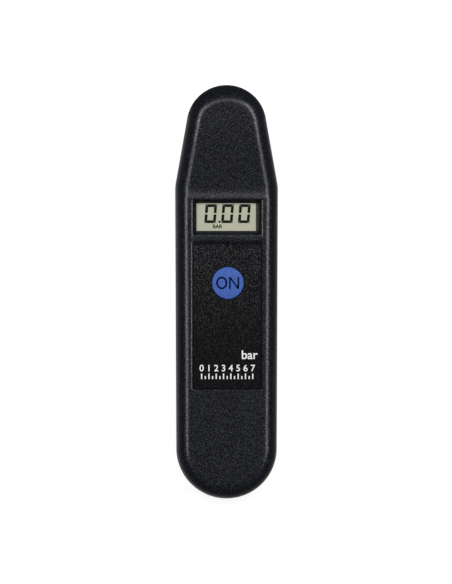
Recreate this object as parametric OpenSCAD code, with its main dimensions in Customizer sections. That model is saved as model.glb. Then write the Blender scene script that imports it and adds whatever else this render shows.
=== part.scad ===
// Digital tire pressure gauge, lying on its back: X across, Y towards the head, Z out of the face.
// The origin is under the middle of the case, on the plane that the flat back rests on.

/* [Case outline] */
// Overall length, from the tip of the head to the tail
case_length = 142; // [136:0.5:152]
// Width across the shoulders
shoulder_width = 35.3; // [33.5:0.1:38]
// Radius of the round head
head_radius = 13.7; // [13:0.05:15]
// Radius of the round tail
tail_radius = 17.25; // [16:0.05:18.5]
// Distance from the tip of the head down to the shoulders
shoulder_drop = 34.9; // [33.5:0.1:36.5]
// Radius that blends the neck into the sides at the shoulders
shoulder_blend = 16; // [8:1:20]
// Thickness of both shells
wall = 1.8; // [1.5:0.1:2]

/* [Case depth] */
// Depth of the rear shell, from the parting plane to the flat back
rear_depth = 9.5; // [9:0.1:11.5]
// Depth of the front shell, from the parting plane to the main face
front_depth = 10.1; // [9.9:0.1:12]
// How far the face of the head lies under the main face
head_face_step = 0.6; // [0.4:0.1:1.2]
// Length of the slope between the two faces
face_ramp = 2.8; // [1.5:0.1:3]
// How far the back of the head lies above the flat back
head_back_step = 5.5; // [5:0.1:5.8]
// Distance from the collar of the nozzle to the slope on the back of the head
head_back_margin = 0.45; // [0.3:0.05:2]
// Length of the slope between the two backs
back_ramp = 6; // [4:0.5:8]

/* [Case edges] */
// Distance from the outline in to the flat of the main face
face_inset = 4.7; // [4:0.1:4.9]
// The same distance along the sides of the head
head_face_inset = 5.1; // [4.4:0.1:5.5]
// The same distance at the tip of the head
tip_inset = 6.8; // [5.5:0.1:7.2]
// The same distance at the end of the tail
tail_inset = 5; // [4.2:0.1:5.8]
// How far the front wall leans in before it turns into the face; the rest of the inset is the edge radius
face_lean = 0.5; // [0.3:0.1:0.8]
// Distance from the outline in to the flat back
back_inset = 4.2; // [3.5:0.1:4.4]
// The same distance round the back of the head
head_back_inset = 3.4; // [3:0.1:3.6]
// Radius of the edge round the flat back
back_round = 2.5; // [2.2:0.1:2.8]
// Radius of the edge round the back of the head
head_back_round = 2; // [2:0.1:2.2]

/* [Display] */
// Distance from the side of the shoulders in to the display opening
window_margin = 5.75; // [5.3:0.05:7]
// Height of the display opening at the face
window_height = 12.3; // [10:0.1:14]
// Distance from the foot of the slope on the face down to the display opening
window_drop = 0.28; // [0.24:0.02:2]
// How far each wall of the opening leans in on its way down
window_slope = 0.9; // [0.5:0.1:1.2]
// Thickness of the clear pane
pane_thick = 0.8; // [0.6:0.1:1]
// How far the pane laps behind the rim of the opening
pane_lap = 1; // [0.6:0.1:1]
// Thickness of the dark mask behind the pane
gasket_thick = 0.4; // [0.3:0.1:0.6]
// Width of the mask on each side of the view
mask_side = 1.15; // [1.1:0.05:2]
// Height of the mask above and below the view
mask_end = 1.4; // [1.1:0.05:2]
// How far the view is set over towards the right
view_shift = 0.25; // [0:0.05:0.5]
// How far the view is set up towards the head
view_rise = 0.15; // [0:0.05:0.5]
// Thickness of each glass
glass_thick = 1.1; // [0.7:0.1:1.2]
// Height of the contact ledge that the rear glass leaves free
glass_ledge = 2.2; // [2:0.1:2.6]
// Thickness of the polarizing films
film_thick = 0.2; // [0.15:0.05:0.3]
// How far the front film is wider than the view, on each side
film_lap_side = 0.05; // [0.05:0.05:0.3]
// How far the films are higher than the view, at each end
film_lap_end = 0.6; // [0.3:0.05:0.8]
// How far the glass is wider than the films, on each side
glass_lap_side = 0.7; // [0.5:0.05:0.9]
// How far the rear glass is higher than the films, at each end
glass_lap_end = 0.2; // [0.1:0.05:0.4]
// How far the glass is set over towards the left
glass_shift = 0.25; // [0.2:0.05:0.4]
// How far the front film is set over towards the left
polarizer_shift = 0.9; // [0.6:0.05:0.95]
// Wall of the frame that holds the glass
frame_wall = 1; // [0.8:0.1:1.2]
// Width of the ledge in the frame that the glass rests on
frame_ledge = 1.1; // [0.8:0.1:1.4]
// Height of the rubber connector between board and glass
connector_height = 2.8; // [2.6:0.1:3]
// Depth of the rubber connector
connector_depth = 1.6; // [1.4:0.1:1.8]
// Distance from the side of the glass in to the rubber connector
connector_margin = 1.45; // [1:0.05:2.5]

/* [Label and button] */
// Distance from the side of the shoulders in to the recess for the label film
label_margin = 5.7; // [5.2:0.1:7]
// Length of the recess for the label film
label_length = 49.9; // [44:0.1:56]
// Height of the rib between the display opening and the recess
rib_height = 2.9; // [2:0.1:5]
// Depth of the recess
label_recess = 0.5; // [0.35:0.05:0.7]
// Thickness of the label film
label_thick = 0.3; // [0.2:0.05:0.35]
// Corner radius of the recess
label_corner = 0.6; // [0.3:0.1:1.5]
// Diameter of the button
button_diameter = 11; // [9:0.1:12]
// Distance from the top of the recess down to the middle of the button
button_drop = 13.5; // [12.5:0.05:20]
// How far the button is set over towards the right
button_shift = 0.3; // [0:0.05:0.6]
// How far the button stands above the label film
button_proud = 0.25; // [0.1:0.05:0.6]
// Width of the lip that keeps the button in
button_lip = 1.3; // [0.8:0.1:1.6]
// Thickness of that lip
button_lip_thick = 0.6; // [0.5:0.1:0.8]
// Thickness of the button's skirt
button_wall = 0.9; // [0.7:0.1:1.1]
// Thickness of the button's roof
button_roof = 1.3; // [1:0.1:1.6]
// Bevel taken off the rim of the button
button_edge = 0.3; // [0.2:0.05:0.5]
// How far the button travels when it is pressed
button_travel = 0.4; // [0.3:0.05:0.5]

/* [Switch] */
// Side of the square switch
switch_side = 6; // [5.5:0.1:6.5]
// Height of the switch body
switch_height = 3.5; // [3.3:0.1:3.6]
// How far the leads stand out from the switch
lead_reach = 1.5; // [1:0.1:2]
// Width of a lead
lead_width = 0.75; // [0.5:0.05:1]
// Thickness of a lead
lead_thick = 0.35; // [0.2:0.05:0.5]
// Diameter of the plunger
plunger_diameter = 3.4; // [3:0.1:3.6]
// Diameter of the snap dome
dome_diameter = 4.4; // [4.2:0.1:4.6]
// Height of the snap dome
dome_height = 0.75; // [0.6:0.05:0.75]
// Thickness of the snap dome
dome_thick = 0.12; // [0.08:0.01:0.15]
// Height of the dome's rim above the board
dome_seat = 1.2; // [1:0.1:1.3]

/* [Board] */
// Thickness of the circuit board
board_thick = 1.2; // [1:0.1:1.6]
// Distance from the side of the shoulders in to the board
board_margin = 5.15; // [4.8:0.05:5.6]
// Width of the board in the head
board_head = 15.2; // [14:0.1:16]
// Distance from the side of the board in to its screws
board_screw_edge = 2.3; // [2.2:0.05:3]
// Distance from the top of the label's recess down to the upper board screws
upper_board_drop = 4.1; // [3.8:0.1:5]
// Distance from the middle of the cell down to the lower board screws
lower_board_drop = 8; // [5:0.5:11]
// Diameter of the cover over the bare chip
chip_cover_diameter = 9; // [7:0.5:10]
// Height of the cover over the bare chip
chip_cover_height = 1.3; // [1:0.1:1.6]
// Diameter of the crystal's can
crystal_diameter = 2; // [1.5:0.1:2.2]
// Length of the crystal's can
crystal_length = 6; // [5:0.5:7]
// Length of a chip capacitor
capacitor_length = 2; // [1.6:0.1:2.4]
// Width of a chip capacitor
capacitor_width = 1; // [0.8:0.1:1.2]
// Height of a chip capacitor
capacitor_height = 0.7; // [0.5:0.1:1]
// Number of chip capacitors
capacitor_count = 3; // [1:1:4]
// Length of a chip resistor
resistor_length = 1.6; // [1.2:0.1:1.8]
// Width of a chip resistor
resistor_width = 0.8; // [0.6:0.1:1]
// Height of a chip resistor
resistor_height = 0.5; // [0.4:0.1:0.7]
// Number of chip resistors
resistor_count = 4; // [1:1:5]
// Distance of both rows of chip parts from the middle
chip_row_x = 6.2; // [4:0.1:8]
// Distance between neighbouring chip parts
chip_pitch = 3; // [2.6:0.1:3.2]

/* [Nozzle] */
// Diameter of the socket that takes the tire valve
socket_diameter = 8.2; // [8:0.05:8.4]
// Depth of that socket
socket_depth = 6; // [5.8:0.1:6.2]
// Bevel at the mouth of the socket
socket_bevel = 0.5; // [0.2:0.1:0.8]
// Height of the mouth above the plane of the flat back
mouth_height = 0.4; // [0.2:0.1:0.6]
// Diameter of the nozzle at its mouth
mouth_diameter = 12.4; // [11.4:0.1:13]
// Diameter of the collar against the case
collar_diameter = 16; // [15:0.1:16.6]
// Height of the collar
collar_height = 2.4; // [2:0.1:2.8]
// Diameter of the threaded neck through the case
neck_diameter = 12; // [11.4:0.1:12.4]
// Thickness of the washer under the collar
washer_thick = 0.5; // [0.4:0.1:0.8]
// Size of the nut across its flats
nut_flats = 15; // [14:0.1:15.4]
// Height of the nut
nut_height = 2; // [1.6:0.1:2.2]
// Thickness of the rubber seal behind the socket
seal_thick = 1.6; // [1.4:0.1:1.7]
// How far the seal reaches into its groove
seal_reach = 0.65; // [0.4:0.05:0.8]
// Diameter of the hole in the seal
seal_hole = 3.4; // [3:0.1:3.8]
// Diameter of the pin that opens the valve
pin_diameter = 1.5; // [1.2:0.1:1.8]
// Thickness of the plate that carries the pin
plate_thick = 0.6; // [0.5:0.1:0.8]
// Diameter of the air holes in that plate
air_hole = 0.9; // [0.7:0.1:1]
// Diameter of the spigot that takes the sensor tube
spigot_diameter = 9.2; // [8.5:0.1:10]
// Depth of the seat for the sensor tube
tube_seat_depth = 1.2; // [1.1:0.1:1.4]
// Diameter of the air passage between pin plate and sensor
passage_diameter = 2.6; // [2:0.1:3]

/* [Sensor] */
// Diameter of the pressure sensor
sensor_diameter = 9; // [8:0.1:10]
// Height of the pressure sensor
sensor_height = 3.2; // [2.6:0.1:3.4]
// Width of the flange round the pressure sensor
sensor_flange = 0.9; // [0.5:0.1:1.2]
// Height of that flange
flange_height = 1.1; // [0.8:0.1:1.4]
// Diameter of the sensor's port tube
tube_diameter = 3.6; // [3.2:0.1:3.8]
// Bore of the port tube
tube_bore = 1.4; // [1:0.1:1.6]
// Thickness of the ring that seals the tube
oring_thick = 0.92; // [0.8:0.02:1]

/* [Battery] */
// Diameter of the coin cell
cell_diameter = 20; // [19.6:0.1:20.2]
// Thickness of the coin cell
cell_thick = 3.2; // [2.5:0.1:3.4]
// Height of the raised face on the cell
cell_step = 0.3; // [0.2:0.05:0.4]
// Width of the rim round that face
cell_rim = 1; // [0.6:0.1:1.5]
// Distance from the middle of the round tail up to the middle of the cell
cell_rise = 23.75; // [21:0.05:30]
// Wall of the cup in the cap that holds the cell
cup_wall = 0.9; // [0.7:0.1:1]
// Thickness of the cap's disc
cap_thick = 1.2; // [1:0.1:1.4]
// How far the cap lies below the flat back
cap_sunk = 0.2; // [0.1:0.05:0.4]
// Number of bayonet lugs
lug_count = 3; // [2, 3, 4]
// Angle that one lug spans
lug_angle = 24; // [16:1:30]
// How far a lug stands out from the cup
lug_reach = 1; // [0.7:0.1:1]
// Thickness of a lug
lug_thick = 0.9; // [0.7:0.1:1.1]
// Thickness of the ledge that the lugs turn behind
ledge_thick = 0.65; // [0.5:0.05:0.9]
// Turn from locked to open
cap_turn = 45; // [40:1:48]
// Thickness of the ring that seals the cap
cap_ring_thick = 0.8; // [0.6:0.05:0.9]
// Width of the coin slot
slot_width = 2; // [1.6:0.1:2.6]
// Length of the coin slot
slot_length = 15; // [10:0.5:18]
// Depth of the coin slot
slot_depth = 0.7; // [0.5:0.1:0.8]
// Thickness of the spring contacts
contact_thick = 0.3; // [0.2:0.05:0.4]
// Width of the spring contacts
contact_width = 4; // [3:0.5:5]
// Length of the foot and of the tip of the negative contact
contact_foot = 4; // [3:0.5:4.5]
// Length of the foot of the positive contact
side_foot = 2; // [1:0.1:2]

/* [Screws] */
// Thread diameter of the case screws
case_screw = 2.6; // [2.2:0.1:2.8]
// Length of a case screw under its head
case_screw_length = 10; // [7:0.5:11]
// Head diameter of the case screws
case_head = 4.8; // [4.2:0.1:5]
// Head height of the case screws
case_head_height = 1.7; // [1.4:0.1:2]
// Depth of the well for a case screw's head
case_well = 5; // [4:0.1:6]
// Distance from the foot of the slope on the back down to the upper case screws
upper_screw_drop = 3.5; // [3:0.1:4]
// Distance from the side of the shoulders in to the upper case screws
upper_screw_margin = 7.65; // [7.4:0.05:8]
// Distance from the middle of the round tail up to the lower case screws
lower_screw_rise = 1.95; // [0:0.05:3]
// Distance from the side of the tail in to the lower case screws
lower_screw_margin = 7.55; // [7.4:0.05:9]
// Wall round a screw's hole in the front shell
boss_wall = 1.65; // [1.4:0.05:1.7]
// Wall round a board screw's hole in its post
post_wall = 1.25; // [1:0.05:1.5]
// Wall round a screw head's well in the rear shell
well_wall = 1.1; // [0.9:0.1:1.2]
// Thread diameter of the board screws
board_screw = 2; // [1.6:0.1:2.2]
// Length of a board screw under its head
board_screw_length = 5; // [4:0.5:5.5]
// Head diameter of the board screws
board_head_diameter = 3.6; // [3.2:0.1:4]
// Head height of the board screws
board_head_height = 1.2; // [1:0.1:1.4]

/* [Hidden] */
$fn = 64;

// Clearances
cut = 1;
hairline = 0.001;
thread_gap = 0.05;
sink = 0.6;
label_gap = 0.1;
button_gap = 0.25;
lip_gap = 0.2;
plunger_gap = 0.1;
dome_gap = 0.2;
glass_gap = 0.2;
neck_gap = 0.15;
seal_gap = 0.05;
board_gap = 0.3;
tube_gap = 0.15;
hole_gap = 0.2;
cell_gap = 0.25;
seat_gap = 0.1;
cap_gap = 0.2;
contact_gap = 0.05;
head_gap = 0.2;
notch_gap = 3;
neck_side_gap = 0.6;

// Share of a screw's head that its cross takes
cross_share = 0.6;

// Steps along the arcs of the outline and up the walls
arc_steps = 12;
blend_steps = 2;
outer_steps = 10;
inner_steps = 6;

// Heights above the plane of the flat back
face_z = rear_depth + front_depth;
head_face_z = face_z - head_face_step;
inner_z = face_z - wall;
pane_z = inner_z - pane_thick;
gasket_z = pane_z - gasket_thick;
polarizer_z = gasket_z - film_thick;
front_glass_z = polarizer_z - glass_thick;
rear_glass_z = front_glass_z - glass_thick;
reflector_z = rear_glass_z - film_thick;
board_top = front_glass_z - connector_height;
board_bottom = board_top - board_thick;
label_z = face_z - label_recess;
button_z = inner_z - lip_gap - button_lip_thick;
button_top = label_z + label_thick + button_proud;
head_inner_z = head_back_step + wall;
collar_top = head_back_step - washer_thick;
socket_top = mouth_height + socket_depth;
seal_top = socket_top + seal_thick;
plate_top = seal_top + plate_thick;
spigot_top = board_bottom - board_gap;
tube_seat_z = spigot_top - tube_seat_depth;
nut_top = head_inner_z + nut_height;
cap_inner_z = cap_sunk + cap_thick;
cap_recess_z = cap_inner_z + seat_gap;
ledge_z = cap_inner_z + cap_ring_thick + seal_gap;
ledge_top = ledge_z + ledge_thick;
lug_z = ledge_top + seat_gap;
lug_top = lug_z + lug_thick;
cell_z = cap_inner_z + seat_gap;
cell_top = cell_z + cell_thick;

// Places along and across the case
tip_y = case_length / 2;
head_y = tip_y - head_radius;
tail_y = tail_radius - tip_y;
shoulder = [shoulder_width / 2, tip_y - shoulder_drop];
head_back_y = head_y - collar_diameter / 2 - head_back_margin;
back_ramp_y = head_back_y - back_ramp;
cell_y = tail_y + cell_rise;
board_end_y = cell_y - cell_diameter / 2 - contact_foot;
upper_screw = [shoulder.x - upper_screw_margin, back_ramp_y - upper_screw_drop];
lower_screw = [tail_radius - lower_screw_margin, tail_y + lower_screw_rise];
case_screw_spots = [
    for (side = [-1, 1]) each [
        [side * upper_screw.x, upper_screw.y, head_face_z - wall],
        [side * lower_screw.x, lower_screw.y, inner_z]
    ]
];
// Radii of the round fits
button_hole = button_diameter / 2 + button_gap;
boss_radius = case_screw / 2 + thread_gap + boss_wall;
well_radius = case_head / 2 + head_gap;
post_radius = board_screw / 2 + thread_gap + post_wall;
groove_radius = socket_diameter / 2 + seal_reach + seal_gap;
plate_radius = socket_diameter / 2 - seat_gap;
tube_seat_radius = tube_diameter / 2 + oring_thick + seal_gap;
cup_radius = cell_diameter / 2 + cell_gap;
cup_outer = cup_radius + cup_wall;
ledge_hole = cup_outer + cap_gap;
ring_seat = cup_outer + cap_ring_thick + 2 * seal_gap;
lug_radius = cup_outer + lug_reach;
cap_radius = lug_radius + seal_gap;
cap_recess = cap_radius + cap_gap;
pad_radius = cap_recess + wall;

// Outline of the case as points with the angle of the outward normal, on the right half
neck_angle = tangent_angle(shoulder.x, shoulder.y - head_y, head_radius, 1);
side_angle = tangent_angle(shoulder.x, shoulder.y - tail_y, tail_radius, -1);
blend_half = (neck_angle - side_angle) / 2;
blend_middle = (neck_angle + side_angle) / 2;
blend_at = shoulder - shoulder_blend / cos(blend_half) * [cos(blend_middle), sin(blend_middle)];
neck_start = on_arc([0, head_y], head_radius, neck_angle);
neck_end = on_arc(blend_at, shoulder_blend, neck_angle);
side_start = on_arc(blend_at, shoulder_blend, side_angle);
side_end = on_arc([0, tail_y], tail_radius, side_angle);
face_ramp_y = side_start.y - face_ramp;

// Display, label, button and board, each placed below the one before
window_width = shoulder_width - 2 * window_margin;
window_y = face_ramp_y - window_drop - window_height / 2;
pane = [window_width, window_height] + 2 * (pane_lap - window_slope) * [1, 1];
view = [window_width - 2 * mask_side, window_height - 2 * mask_end];
film = view + 2 * [film_lap_side, film_lap_end];
rear_glass = film + 2 * [glass_lap_side, glass_lap_end];
front_glass = rear_glass + [0, glass_ledge];
glass_y = window_y - glass_ledge / 2;
connector_y = window_y - front_glass.y / 2;
connector_length = front_glass.x - 2 * connector_margin;
frame_pocket = front_glass + 2 * glass_gap * [1, 1];
frame_outer = frame_pocket + 2 * frame_wall * [1, 1];
label_width = shoulder_width - 2 * label_margin;
label_top_y = window_y - window_height / 2 - rib_height;
label_y = label_top_y - label_length / 2;
button_at = [button_shift, label_top_y - button_drop];
board_width = shoulder_width - 2 * board_margin;
board_neck = 2 * (upper_screw.x - boss_radius - neck_side_gap);
board_shoulder_y = glass_y + frame_outer.y / 2 + frame_wall;
board_screw_x = board_width / 2 - board_screw_edge;
board_screw_spots = [
    for (side = [-1, 1], y = [label_top_y - upper_board_drop, cell_y - lower_board_drop])
        [side * board_screw_x, y]
];

function tangent_angle(dx, dy, radius, way) =
    atan2(dy, dx) + way * acos(radius / norm([dx, dy]));
function on_arc(center, radius, angle) =
    [center.x + radius * cos(angle), center.y + radius * sin(angle), angle];
function on_line(from, to, y) =
    [from.x + (to.x - from.x) * (y - from.y) / (to.y - from.y), y, from[2]];
function arc(center, radius, start, end, steps) =
    [for (i = [0:steps]) on_arc(center, radius, start + (end - start) * i / steps)];
function mirrored(point) = [-point.x, point.y, 180 - point[2]];

half_outline = concat(
    arc([0, head_y], head_radius, 90, neck_angle, arc_steps),
    [for (y = [head_back_y, back_ramp_y]) on_line(neck_start, neck_end, y)],
    arc(blend_at, shoulder_blend, neck_angle, side_angle, blend_steps),
    [on_line(side_start, side_end, face_ramp_y)],
    arc([0, tail_y], tail_radius, side_angle, -90, arc_steps)
);
half_count = len(half_outline);
outline = concat(half_outline, [for (i = [half_count - 2:-1:1]) mirrored(half_outline[i])]);
outline_count = len(outline);
last_on_head_back = arc_steps + 1;
last_on_head_face = arc_steps + blend_steps + 3;

// Inset, edge radius and depth of the wall at one point of the outline
function on_head_face(point) = point.y > face_ramp_y + hairline;
function front_inset(point) =
    on_head_face(point)
    ? head_face_inset + (tip_inset - head_face_inset) * pow(max(0, sin(point[2])), 2)
    : face_inset + (tail_inset - face_inset) * pow(max(0, -sin(point[2])), 2);
function front_edge(point) = [
    front_inset(point),
    front_inset(point) - face_lean,
    front_depth - (on_head_face(point) ? head_face_step : 0)
];
function rear_edge(point) =
    point.y > head_back_y - hairline
    ? [head_back_inset, head_back_round, rear_depth - head_back_step]
    : [back_inset, back_round, rear_depth];

// A wall rises from the parting plane on one arc, and turns into the face on the edge radius.
// At share 0 it is on the parting plane and at share 1 on the face, shifted in by depth_in.
function wall_arc(edge) =
    (pow(edge[0], 2) + pow(edge[2] - edge[1], 2) - pow(edge[1], 2)) / (2 * (edge[0] - edge[1]));
function wall_turn(edge) = atan2(edge[2] - edge[1], wall_arc(edge) - edge[0]);
function wall_point(edge, depth_in, share) =
    share < 0
    ? [depth_in, share]
    : share <= 1 / 2
    ? let (angle = wall_turn(edge) * 2 * share, reach = wall_arc(edge) - depth_in)
        [wall_arc(edge) - reach * cos(angle), reach * sin(angle)]
    : let (
        angle = wall_turn(edge) + (90 - wall_turn(edge)) * (2 * share - 1),
        reach = max(edge[1] - depth_in, hairline)
    )
        [edge[0] - reach * cos(angle), edge[2] - edge[1] + reach * sin(angle)];
function wall_ring(way, depth_in, share) = [
    for (point = outline)
        let (
            edge = way > 0 ? front_edge(point) : rear_edge(point),
            place = wall_point(edge, depth_in, share)
        )
            [
                point.x - place[0] * cos(point[2]),
                point.y - place[0] * sin(point[2]),
                rear_depth + way * place[1]
            ]
];
function shares(steps) = [for (i = [0:steps]) i / steps];

// Faces that close a loft: one for a plain end, three for an end with a slope across it
function whole_cap() = [[for (i = [0:outline_count - 1]) i]];
function stepped_cap(last) = [
    concat([for (i = [0:last]) i], [for (i = [last:-1:1]) outline_count - i]),
    [last, last + 1, outline_count - last - 1, outline_count - last],
    concat(
        [for (i = [last + 1:half_count - 1]) i],
        [for (i = [half_count - 2:-1:last + 1]) outline_count - i]
    )
];

module loft(rings, low_cap, high_cap) {
    top = (len(rings) - 1) * outline_count;
    sides = [
        for (i = [0:len(rings) - 2], j = [0:outline_count - 1])
            let (
                a = i * outline_count + j,
                b = i * outline_count + (j + 1) % outline_count
            )
                each [[a, b, b + outline_count], [a, b + outline_count, a + outline_count]]
    ];
    low = [for (cap = low_cap) [for (i = [len(cap) - 1:-1:0]) cap[i]]];
    high = [for (cap = high_cap) [for (i = cap) top + i]];
    polyhedron([for (ring = rings) each ring], concat(sides, low, high), convexity = 8);
}

module front_form(depth_in, levels) {
    loft(
        [for (share = levels) wall_ring(1, depth_in, share)],
        whole_cap(),
        stepped_cap(last_on_head_face)
    );
}

module rear_form(depth_in, levels) {
    loft(
        [for (i = [len(levels) - 1:-1:0]) wall_ring(-1, depth_in, levels[i])],
        stepped_cap(last_on_head_back),
        whole_cap()
    );
}

module rounded_plate(width, height, corner, thick) {
    linear_extrude(thick) {
        square([width - 2 * corner, height], center = true);
        square([width, height - 2 * corner], center = true);
        for (x = [-1, 1], y = [-1, 1])
            translate([x * (width / 2 - corner), y * (height / 2 - corner)])
                circle(corner);
    }
}

module slab(x, y, z, width, height, thick) {
    translate([x - width / 2, y - height / 2, z])
        cube([width, height, thick]);
}

module pipe(x, y, low, high, radius) {
    translate([x, y, low])
        cylinder(h = high - low, r = radius);
}

module ring(x, y, z, radius, thick) {
    translate([x, y, z])
        rotate_extrude()
            translate([radius, 0])
                circle(thick / 2);
}

// A bar along Y whose section is a trapezoid as wide at the face as the width given
module leaning_bar(width, length) {
    lean = window_slope / wall;
    low = width / 2 - lean * (wall + cut);
    high = width / 2 + lean * cut;
    rotate([90, 0, 0])
        linear_extrude(length, center = true)
            polygon([
                [-low, inner_z - cut],
                [low, inner_z - cut],
                [high, face_z + cut],
                [-high, face_z + cut]
            ]);
}

module window_cut() {
    translate([0, window_y, 0])
        intersection() {
            leaning_bar(window_width, 2 * window_height);
            rotate(90)
                leaning_bar(window_height, 2 * window_width);
        }
}

module cross_recess(width, depth) {
    bar = width / 6;
    slab(0, 0, -cut, bar, width, depth + cut);
    slab(0, 0, -cut, width, bar, depth + cut);
}

module pan_screw(thread, length, head, head_height) {
    difference() {
        union() {
            pipe(0, 0, 0, head_height, head / 2);
            pipe(0, 0, head_height - hairline, head_height + length, thread / 2);
        }
        cross_recess(head * cross_share, head_height * cross_share);
    }
}

module front_shell() {
    color("#202124")
        difference() {
            union() {
                difference() {
                    front_form(0, shares(outer_steps));
                    front_form(wall, concat([-cut], shares(inner_steps)));
                }
                for (spot = case_screw_spots)
                    pipe(spot.x, spot.y, rear_depth, spot.z + sink, boss_radius);
                for (spot = board_screw_spots)
                    pipe(spot.x, spot.y, board_top, inner_z + sink, post_radius);
            }
            window_cut();
            translate([0, label_y, label_z])
                rounded_plate(label_width, label_length, label_corner, label_recess + cut);
            pipe(button_at.x, button_at.y, inner_z - cut, face_z + cut, button_hole);
            for (spot = case_screw_spots)
                pipe(
                    spot.x, spot.y, rear_depth - cut,
                    case_well + case_screw_length + sink, case_screw / 2 + thread_gap
                );
            for (spot = board_screw_spots)
                pipe(
                    spot.x, spot.y, board_top - cut,
                    board_bottom + board_screw_length + sink / 2, board_screw / 2 + thread_gap
                );
        }
}

module bayonet_notches() {
    notch_angle = lug_angle + 2 * notch_gap;
    reach = lug_radius + cap_gap - cup_radius;
    for (i = [0:lug_count - 1])
        rotate(cap_turn - notch_angle / 2 + i * 360 / lug_count)
            rotate_extrude(angle = notch_angle)
                translate([cup_radius, cap_recess_z - hairline])
                    square([reach, ledge_top - cap_recess_z + cut]);
}

module rear_shell() {
    color("#202124")
        difference() {
            union() {
                difference() {
                    rear_form(0, shares(outer_steps));
                    rear_form(wall, concat([-cut], shares(inner_steps)));
                }
                for (spot = case_screw_spots)
                    pipe(spot.x, spot.y, wall / 2, rear_depth, well_radius + well_wall);
                pipe(0, cell_y, wall / 2, ledge_top, pad_radius);
            }
            for (spot = case_screw_spots) {
                pipe(spot.x, spot.y, -cut, case_well, well_radius);
                pipe(spot.x, spot.y, 0, rear_depth + cut, case_screw / 2 + 2 * thread_gap);
            }
            pipe(0, cell_y, -cut, cap_recess_z, cap_recess);
            pipe(0, cell_y, -cut, ledge_z, ring_seat);
            pipe(0, cell_y, -cut, ledge_top + cut, ledge_hole);
            translate([0, cell_y, 0])
                bayonet_notches();
            pipe(0, head_y, 0, head_inner_z + cut, neck_diameter / 2 + neck_gap);
        }
}

module label_film() {
    color("#222326")
        difference() {
            translate([0, label_y, label_z])
                rounded_plate(
                    label_width - 2 * label_gap, label_length - 2 * label_gap,
                    label_corner - label_gap, label_thick
                );
            pipe(button_at.x, button_at.y, label_z - cut, face_z + cut, button_hole);
        }
}

module on_button() {
    radius = button_diameter / 2;
    high = button_top - button_z;
    color("#4864aa")
        translate([button_at.x, button_at.y, button_z])
            difference() {
                rotate_extrude()
                    polygon([
                        [0, 0],
                        [radius + button_lip, 0],
                        [radius + button_lip, button_lip_thick],
                        [radius, button_lip_thick],
                        [radius, high - button_edge],
                        [radius - button_edge, high],
                        [0, high]
                    ]);
                difference() {
                    pipe(0, 0, -cut, high - button_roof, radius - button_wall);
                    pipe(0, 0, -2 * cut, high, plunger_diameter / 2 + button_wall);
                }
            }
}

module lcd_window() {
    color("#d8dcdc")
        slab(0, window_y, pane_z, pane.x, pane.y, pane_thick);
}

module lcd_gasket() {
    color("#141516")
        difference() {
            slab(0, window_y, gasket_z, pane.x, pane.y, gasket_thick);
            slab(view_shift, window_y + view_rise, gasket_z - cut, view.x, view.y, gasket_thick + 2 * cut);
        }
}

module lcd_polarizer() {
    color("#b5b7a1")
        slab(-polarizer_shift, window_y, polarizer_z, film.x, film.y, film_thick);
}

module lcd_front_glass() {
    color("#8d908a")
        slab(-glass_shift, glass_y, front_glass_z, front_glass.x, front_glass.y, glass_thick);
}

module lcd_rear_glass() {
    color("#8d908a")
        slab(-glass_shift, window_y, rear_glass_z, rear_glass.x, rear_glass.y, glass_thick);
}

module lcd_reflector() {
    color("#a6a894")
        slab(-glass_shift, window_y, reflector_z, film.x, film.y, film_thick);
}

module lcd_frame() {
    hole = rear_glass - 2 * frame_ledge * [1, 1];
    slot = [connector_length, connector_depth] + glass_gap * [1, 1];
    color("#2a2b2d")
        translate([-glass_shift, 0, 0])
            difference() {
                slab(0, glass_y, board_top, frame_outer.x, frame_outer.y, polarizer_z - board_top);
                slab(0, glass_y, reflector_z, frame_pocket.x, frame_pocket.y, polarizer_z);
                slab(0, window_y, board_top - cut, hole.x, hole.y, polarizer_z);
                slab(0, connector_y, board_top - cut, slot.x, slot.y, polarizer_z);
            }
}

module lcd_connector() {
    color("#c98fa0")
        slab(-glass_shift, connector_y, board_top, connector_length, connector_depth, connector_height);
}

module circuit_board() {
    body_length = board_shoulder_y - board_end_y;
    color("#1f6b3a")
        translate([0, 0, board_bottom])
            linear_extrude(board_thick)
                difference() {
                    union() {
                        translate([-board_width / 2, board_end_y])
                            square([board_width, body_length]);
                        translate([-board_neck / 2, board_shoulder_y - cut])
                            square([board_neck, head_y - board_shoulder_y + cut]);
                        translate([0, head_y])
                            circle(board_head / 2);
                    }
                    translate([0, head_y])
                        circle(tube_diameter / 2 + hole_gap);
                    for (spot = board_screw_spots)
                        translate([spot.x, spot.y])
                            circle(board_screw / 2 + hole_gap);
                }
}

module chip_cover() {
    half = chip_cover_diameter / 2;
    radius = (half * half + chip_cover_height * chip_cover_height) / (2 * chip_cover_height);
    color("#111214")
        translate([0, window_y, board_bottom])
            intersection() {
                translate([0, 0, radius - chip_cover_height])
                    sphere(radius, $fn = 4 * $fn);
                pipe(0, 0, -chip_cover_height - cut, 0, half + cut);
            }
}

module crystal() {
    y = glass_y - frame_outer.y / 2 - crystal_diameter / 2;
    color("#b9bcc0")
        translate([-crystal_length / 2, y, board_bottom - crystal_diameter / 2])
            rotate([0, 90, 0])
                cylinder(h = crystal_length, d = crystal_diameter);
}

module chip_row(x, count, length, width, height) {
    for (i = [0:count - 1])
        slab(
            x, button_at.y + (i - (count - 1) / 2) * chip_pitch, board_bottom - height,
            length, width, height
        );
}

module capacitors() {
    color("#9a7b52")
        chip_row(-chip_row_x, capacitor_count, capacitor_length, capacitor_width, capacitor_height);
}

module resistors() {
    color("#17181a")
        chip_row(chip_row_x, resistor_count, resistor_length, resistor_width, resistor_height);
}

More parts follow.
